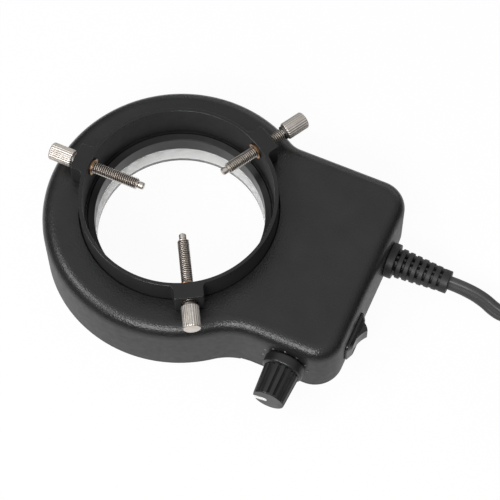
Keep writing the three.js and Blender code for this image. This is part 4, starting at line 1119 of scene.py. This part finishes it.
def make_thumbscrew(index):
    name = ("left", "front", "right")[index]
    where = screw_frame(index, SCREW_TIPS[index])

    def put(piece, look, body, *nodes, angle=32):
        place(piece, look, "screw_nickel", *nodes, body=f"{name}_{body}", where=where, angle=angle)

    start, under_collar = POINT_LENGTH + GAP, UNDER_HEAD - COLLAR_THICKNESS
    put(threaded(f"{name}_thread", start, under_collar + 0.1), "nickel", "screw", angle=80)
    # A dark tube inside the thread shows between its crests: painted shade in the thread's roots
    groove = band(POINT_STEM_RADIUS + GAP, THREAD_SHADE_RADIUS, start + THREAD_RUNOUT, under_collar)
    put(turned(f"{name}_groove", groove, 28), "groove", "screw")
    collar = soften(band(0, COLLAR_RADIUS, under_collar, UNDER_HEAD), 0.15, 2)
    # The collar under the head gets the dark copy of steel, painted shade
    put(turned(f"{name}_collar", collar, 40), "steel_in_painted_shade", "screw")
    head = knurled(f"{name}_head", HEAD_RADIUS, UNDER_HEAD, UNDER_HEAD + HEAD_LENGTH, HEAD_CHAMFER)
    put(head, "nickel", "screw", f"thumbscrew_{index + 1}", angle=50)
    stem_end = POINT_LENGTH + POINT_STEM_LENGTH
    point = [
        (0, 0), (POINT_RADIUS - 0.3, 0), (POINT_RADIUS, 0.3), (POINT_RADIUS, POINT_LENGTH - 0.15),
        (POINT_RADIUS - 0.15, POINT_LENGTH), (POINT_STEM_RADIUS, POINT_LENGTH),
        (POINT_STEM_RADIUS, stem_end), (0, stem_end),
    ]
    put(turned(f"{name}_dog_point", point, 32), "nickel", "point", f"screw_point_{index + 1}")


# Inside the ring


def make_ring_inside():
    sleeve_bottom = extent("inner_sleeve")[0].z
    lip_bottom = SHELF_TOP - 1.0
    sleeve = turned("sleeve", soften([
        (HOLE_RADIUS, sleeve_bottom), (SLEEVE_RADIUS, sleeve_bottom), (SLEEVE_RADIUS, lip_bottom),
        (SLEEVE_LIP_RADIUS, lip_bottom), (SLEEVE_LIP_RADIUS, CLAMP_BOTTOM),
        (HOLE_RADIUS, CLAMP_BOTTOM - SLEEVE_TOP_FALL),
    ], 0.25), FINE)
    place(sleeve, "sleeve", "sleeve_black", "inner_sleeve")
    bottom, top = extent("led_cover")[0].z, extent("led_cover")[1].z
    skirt_top = sleeve_bottom - GAP
    outer, wall = CHANNEL_RADIUS - GAP, COVER_WALL
    cover = turned("clear_cover", soften([
        *arc(HOLE_RADIUS + wall / 2, bottom + wall / 2, wall / 2, pi, QUARTER * 3, 4),
        (outer, bottom), (outer, top), (outer - wall, top), (outer - wall, bottom + wall),
        (HOLE_RADIUS + wall, bottom + wall), (HOLE_RADIUS + wall, skirt_top), (HOLE_RADIUS, skirt_top),
    ], 0.3), FINE)
    place(cover, "clear", "cover_clear", "led_cover")
    tip, board_top = (corner.z for corner in extent("led_board"))
    board_bottom = board_top - BOARD_THICKNESS
    inner = BOARD_HOLE_RADIUS
    board = turned("lamp_board", soften(band(inner, outer, board_bottom, board_top), 0.15, 2), FINE)
    place(board, "board", "board_white", "led_board")
    radius, flange = LED_RADIUS, LED_RADIUS + LED_FLANGE_WIDTH
    flange_bottom = board_bottom - LED_FLANGE_THICKNESS
    angles = [QUARTER * i / 6 for i in range(7)]
    dome = [(radius * sin(a), tip + radius * (1 - cos(a))) for a in angles]
    profile = [
        *dome, (radius, flange_bottom), (flange, flange_bottom), (flange, board_bottom), (0, board_bottom),
    ]
    cup = [(r, tip + z) for r, z in LED_CUP]
    lamps, cups = [], []
    for row, share in enumerate(LED_ROWS):
        ring = inner + (outer - inner) * share
        for i in range(LEDS_IN_ROW):
            turn = spin(tau * (i + row / 2) / LEDS_IN_ROW) @ spot(ring, 0, 0)
            lamps.append(move(turned("lamp", profile, 16), turn))
            cups.append(move(turned("cup", cup, 12), turn))
    place(gathered("lamps", lamps), "lamp", "cover_clear")
    place(gathered("lamp_cups", cups), "cup", "board_white")


# Brightness control


def control_frame(angle):
    """From a piece along +Z with the near wall at zero to its place on the box."""
    return spot(KNOB_X, NEAR_WALL_Y, KNOB_Z) @ spin(-angle, "Y") @ spin(QUARTER, "X")


def make_knob():
    top, shoulder, end = KNOB_TOP, KNOB_SHOULDER, KNOB_END
    flute_start, flute_end = SKIRT_HEIGHT + 0.9, top - 0.85
    # [height, radius, share of the flutes' depth]
    rows = [
        (SKIRT_HEIGHT - 0.5, shoulder, 0.2), (SKIRT_HEIGHT + 0.2, shoulder, 0.5),
        (flute_start, shoulder, 1.0),
    ]
    for i in range(1, 7):
        t = i / 6
        rows.append((flute_start + (flute_end - flute_start) * t, shoulder + (end - shoulder) * t, 1.0))
    rows += [
        (top - 0.6, end - 0.02, 0.2), (top - 0.3, end - 0.06, 0.1),
        (top - 0.1, end - 0.14, 0), (top, end - 0.3, 0),
    ]
    samples = 14
    count = FLUTE_COUNT * samples
    loops = []
    for z, radius, deep in rows:
        loop = []
        for j in range(count):
            phase = abs(j % samples / samples - 0.5) * 2
            groove = FLUTE_DEPTH * deep * max(0.0, 1 - (phase / FLUTE_SHARE) ** 2)
            loop.append((*circle(radius - groove, tau * j / count), z))
        loops.append(loop)
    grip = lofted("grip", loops)
    knob = turned("knob", soften([
        (0, KNOB_BOTTOM), (SKIRT_RADIUS, KNOB_BOTTOM), (SKIRT_RADIUS, SKIRT_HEIGHT),
        (shoulder - 0.4, SKIRT_HEIGHT + 0.35), (shoulder - 0.9, SKIRT_HEIGHT + 0.3),
        (0, SKIRT_HEIGHT + 0.3),
    ], 0.7, 5), 128)
    combine(knob, [grip], "UNION")
    slot = prism("slot", pointer_outline(0.05), top - 0.35, top + OVERRUN)
    cavity = disc("cavity", NUT_CAVITY, 0, BUSHING_LENGTH + GAP)
    bore = disc("bore", SHAFT_RADIUS + GAP / 2, 0, SHAFT_DEPTH + GAP)
    combine(knob, [slot, cavity, bore])
    where = control_frame(POINTER_ANGLE)
    place(knob, "knob", "knob_black", "dimmer_knob", body="dimmer", where=where)
    pointer = prism("pointer", pointer_outline(0), top - 0.34, top + 0.04)
    combine(pointer, [disc("limit", end - 0.34, 0, top + OVERRUN, 96)], "INTERSECT")
    place(pointer, "pointer", "pointer_white", "knob_pointer", body="dimmer", where=where)


def pointer_outline(margin):
    reach, half = KNOB_END + OVERRUN, POINTER_WIDTH / 2 + margin
    return [(reach, -half), (reach, half), *arc(POINTER_START, 0, half, QUARTER, QUARTER * 3, 8)]


def near_wall_at(z):
    """The near wall's y at a height, on its rounded top edge too."""
    above = max(0.0, z - (HOUSING_TOP - TOP_FILLET))
    return NEAR_WALL_Y + TOP_FILLET - sqrt(TOP_FILLET ** 2 - above ** 2)


def make_scale():
    """Printed dots round the knob, raised by the ink's thickness."""
    dots = []
    middle_x, middle_z = SCALE_CENTRE
    for i in range(SCALE_DOTS):
        x, z = circle(SCALE_RADIUS, radians(SCALE_START + SCALE_PITCH * i))
        rim = arc(middle_x + x, middle_z + z, SCALE_DOT_RADIUS, 0, tau, 16)[:-1]
        loops = [[(x, near_wall_at(z) + lift, z) for x, z in rim] for lift in (0.02, -SCALE_INK)]
        dots.append(lofted("dot", loops))
    place(gathered("scale_dots", dots), "scale", "pointer_white")


# Switch


def switch_frame():
    """From a piece with X along the rocker, Y across it and Z outwards to its place on the back wall."""
    return spot(BACK_WALL_X, SWITCH_Y, SWITCH_Z) @ spin(QUARTER, "X") @ spin(QUARTER, "Y")


def make_switch():
    """A frame that slopes up to its opening, the switch's body behind it, and the rocker."""
    opening = ROCKER_RADIUS + GAP
    pivot_z = BEZEL_THICKNESS - ROCKER_PIVOT_DEPTH
    opening_length = 2 * sqrt(opening ** 2 - ROCKER_PIVOT_DEPTH ** 2)
    outer = (BEZEL_LENGTH, BEZEL_HEIGHT, 2.0)
    inner = (opening_length + 0.5, POCKET_HEIGHT + 0.5, 1.2)
    # [height, how far drawn in, sides and corner]
    rows = [
        (GAP / 2, 0, outer), (BEZEL_EDGE - 0.25, 0, outer), (BEZEL_EDGE - 0.07, 0.07, outer),
        (BEZEL_EDGE + 0.06, 0.3, outer), (BEZEL_THICKNESS - 0.05, -0.15, inner),
        (BEZEL_THICKNESS, -0.02, inner),
    ]
    loops = []
    for z, drawn, (length, height, corner) in rows:
        outline = rounded_rectangle(length - drawn * 2, height - drawn * 2, corner)
        loops.append([(x, y, z) for x, y in outline])
    bezel = lofted("switch_frame", loops)
    can = block("can", both(SWITCH_CAN[0] / 2), both(SWITCH_CAN[1] / 2), (-SWITCH_DEPTH, 0.6))
    combine(bezel, [can], "UNION")
    pocket = disc("pocket", opening, *both(POCKET_HEIGHT / 2), 96)
    move(pocket, spot(0, 0, pivot_z) @ spin(QUARTER, "X"))
    depth = (pivot_z - POCKET_DEPTH, BEZEL_THICKNESS + OVERRUN)
    combine(pocket, [block("depths", both(opening * 2), both(opening), depth)], "INTERSECT")
    combine(bezel, [pocket])
    place(bezel, "switch", "switch_black", "switch_body", where=switch_frame())
    corner_x, corner_y = circle(ROCKER_RADIUS, ROCKER_CORNER)
    hollow_radius = (corner_x ** 2 + ROCKER_HOLLOW ** 2) / (2 * ROCKER_HOLLOW)
    span = asin(corner_x / hollow_radius)
    hollow_y = corner_y - ROCKER_HOLLOW + hollow_radius
    side = arc(0, 0, ROCKER_RADIUS, ROCKER_END, ROCKER_CORNER, 10)
    mirrored = [(-x, y) for x, y in reversed(side)]
    hollow = arc(0, hollow_y, hollow_radius, -QUARTER + span, -QUARTER - span, 14)
    outline = [*side, *hollow[1:-1], *mirrored, (0, -ROCKER_BELLY - ROCKER_HOLLOW)]
    rocker = prism("rocker_cap", outline, *both(POCKET_HEIGHT / 2 - GAP), ROCKER_EDGE, 4)
    where = switch_frame() @ spot(0, 0, pivot_z) @ spin(-ROCKER_REST, "Y") @ spin(QUARTER, "X")
    place(rocker, "switch", "switch_black", "rocker", body="rocker", where=where)


# Strain relief


def make_strain_relief():
    """Moulded rubber sleeve: rings joined by two thin webs along it, with a flange and an end collar."""
    collar, core, step = RELIEF_COLLAR, RELIEF_CORE, GAP / 2

    def core_at(height):
        share = (height - collar[1]) / (RELIEF_LENGTH - collar[1])
        return core[0] + (core[1] - core[0]) * share

    flange_top = -WALL - GAP
    flange_bottom = flange_top - RELIEF_FLANGE_THICKNESS
    profile = [
        (0, flange_bottom), (RELIEF_FLANGE_RADIUS, flange_bottom), (RELIEF_FLANGE_RADIUS, flange_top),
        (RELIEF_NECK_RADIUS, flange_top), (RELIEF_NECK_RADIUS, step), (collar[0], step), collar,
        (core_at(collar[1]), collar[1]),
    ]
    first_radius, last_radius = RELIEF_RIB_RADII
    ribs = []
    for i in range(RELIEF_RIBS):
        bottom = RELIEF_FIRST_RIB + RELIEF_RIB_PITCH * i
        top = bottom + RELIEF_RIB_THICKNESS
        ribs.append((bottom, top))
        radius = first_radius + (last_radius - first_radius) * i / (RELIEF_RIBS - 1)
        profile += [(core_at(bottom), bottom), (radius, bottom), (radius, top), (core_at(top), top)]
    end = RELIEF_LENGTH - RELIEF_END[1]
    radius = RELIEF_END[0]
    profile += [(core_at(end), end), (radius, end), (radius, RELIEF_LENGTH), (0, RELIEF_LENGTH)]
    sleeve = turned("cord_sleeve", soften(profile, RELIEF_EDGE, 3), 72)
    windows = []
    bottoms = [collar[1]] + [top for bottom, top in ribs]
    tops = [bottom for bottom, top in ribs] + [end]
    for bottom, top in zip(bottoms, tops):
        for first, last in RELIEF_WINDOWS:
            for side in (0, 180):
                a, b = radians(first + side), radians(last + side)
                outline = [*arc(0, 0, collar[0], a, b, 8), *arc(0, 0, RELIEF_WINDOW_FLOOR, b, a, 8)]
                windows.append(prism("window", outline, bottom + 0.03, top - 0.03))
    combine(sleeve, [gathered("windows", windows)])
    outwards = Matrix(((0, 0, 1), (1, 0, 0), (0, 1, 0))).to_4x4()
    where = spot(BACK_WALL_X, RELIEF_Y, RELIEF_Z) @ outwards
    place(sleeve, "relief", "component_black", "strain_relief", where=where)


# Pieces that keep their CAD shape


def dress_kept_nodes():
    kept = {
        "green": ("driver_board",),
        "steel": ("board_screw_1", "board_screw_2", "pot_body", "pot_washer", "pot_nut", "pot_shaft"),
        "yellow": ("transformer",),
        "component": ("bulk_capacitor", "output_capacitor", "rectifier"),
        "blade": ("switch_terminal_1", "switch_terminal_2"),
        "lead": ("live_lead", "neutral_lead", "switch_lead", "led_lead"),
    }
    for look, names in kept.items():
        for name in names:
            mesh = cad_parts[name].data
            mesh.materials.clear()
            mesh.materials.append(looks[look])


# Studio


def white_where_seen(tree, plain, white, share):
    """Mixes a surface with plain white for what the camera, metal and glass see."""
    path = node(tree, "LightPath")
    seen = math_node(tree, "MAXIMUM", path.outputs["Is Camera Ray"], path.outputs["Is Glossy Ray"])
    seen = math_node(tree, "MAXIMUM", seen, path.outputs["Is Transmission Ray"])
    factor = math_node(tree, "MULTIPLY", seen, share)
    return node(tree, "MixShader", {0: factor, 1: plain, 2: white}).outputs[0]


def make_floor():
    """Pale paper whose glow in reflections fades away from the object."""
    reach, low = FLOOR_REACH, -FLOOR_DROP
    corners = [(-reach, -reach, low), (reach, -reach, low), (reach, reach, low), (-reach, reach, low)]
    floor = solid("floor", corners, [(0, 1, 2, 3)])
    material = bpy.data.materials.new("floor_paper")
    material.use_nodes = True
    tree = material.node_tree
    tree.nodes.clear()
    away = length_of(tree, node(tree, "NewGeometry").outputs["Position"])
    shine = remap(tree, away, *FLOOR_GLOW, 1.0, FLOOR_GLOW_LEAST)
    path = node(tree, "LightPath")
    strength = node(tree, "Mix", {"Factor": path.outputs["Is Camera Ray"], 2: shine, 3: 1.0})
    plain = node(tree, "BsdfDiffuse", {"Color": FLOOR_COLOR}).outputs[0]
    white = node(tree, "Emission", {"Color": WHITE, "Strength": strength.outputs[0]}).outputs[0]
    surface = white_where_seen(tree, plain, white, FLOOR_WHITE_SHARE)
    node(tree, "OutputMaterial", {"Surface": surface})
    floor.data.materials.append(material)


def make_world():
    """Strong light overhead, weak near the horizon, a bright backdrop, and plain white to the camera."""
    world = bpy.data.worlds.new("studio")
    world.use_nodes = True
    bpy.context.scene.world = world
    tree = world.node_tree
    tree.nodes.clear()
    ray = node(tree, "TexCoord").outputs["Generated"]
    overhead = remap(tree, part_of(tree, ray, "Z"), *SKY_RISE, SKY_LOW, SKY_HIGH)
    backdrop = remap(tree, part_of(tree, ray, "Y"), *SKY_BACK_TURN, 0, SKY_BACK)
    strength = math_node(tree, "MAXIMUM", overhead, backdrop)
    plain = node(tree, "Background", {"Color": WHITE, "Strength": strength}).outputs[0]
    white = node(tree, "Background", {"Color": WHITE, "Strength": 1.0}).outputs[0]
    seen = node(tree, "LightPath").outputs["Is Camera Ray"]
    sky = node(tree, "MixShader", {0: seen, 1: plain, 2: white}).outputs[0]
    node(tree, "OutputWorld", {"Surface": sky})


def make_lamp(name, place_mm, size_mm, power):
    data = bpy.data.lights.new(name, "AREA")
    data.shape = "RECTANGLE"
    data.size, data.size_y = (side * MM for side in size_mm)
    data.energy = power
    lamp = added(name, data)
    away = (Vector(place_mm) - Vector(LAMPS_AIM)).normalized()
    turn = away.to_track_quat("Z", "Y").to_matrix().to_4x4()
    lamp.matrix_world = Matrix.Translation(Vector(place_mm) * MM) @ turn


def light_studio():
    make_floor()
    make_world()
    for lamp in LAMPS:
        make_lamp(*lamp)
    bpy.context.scene.view_settings.view_transform = "Standard"


aim_camera()
cord, cord_path = make_cord()
strap = make_tie()
plug_pieces = make_plug(cord_path)
make_housing()
make_bottom_cover()
make_clamp_ring()
for screw in range(LUG_COUNT):
    make_bush(screw)
    make_thumbscrew(screw)
make_ring_inside()
make_knob()
make_scale()
make_switch()
make_strain_relief()
dress_kept_nodes()
light_studio()
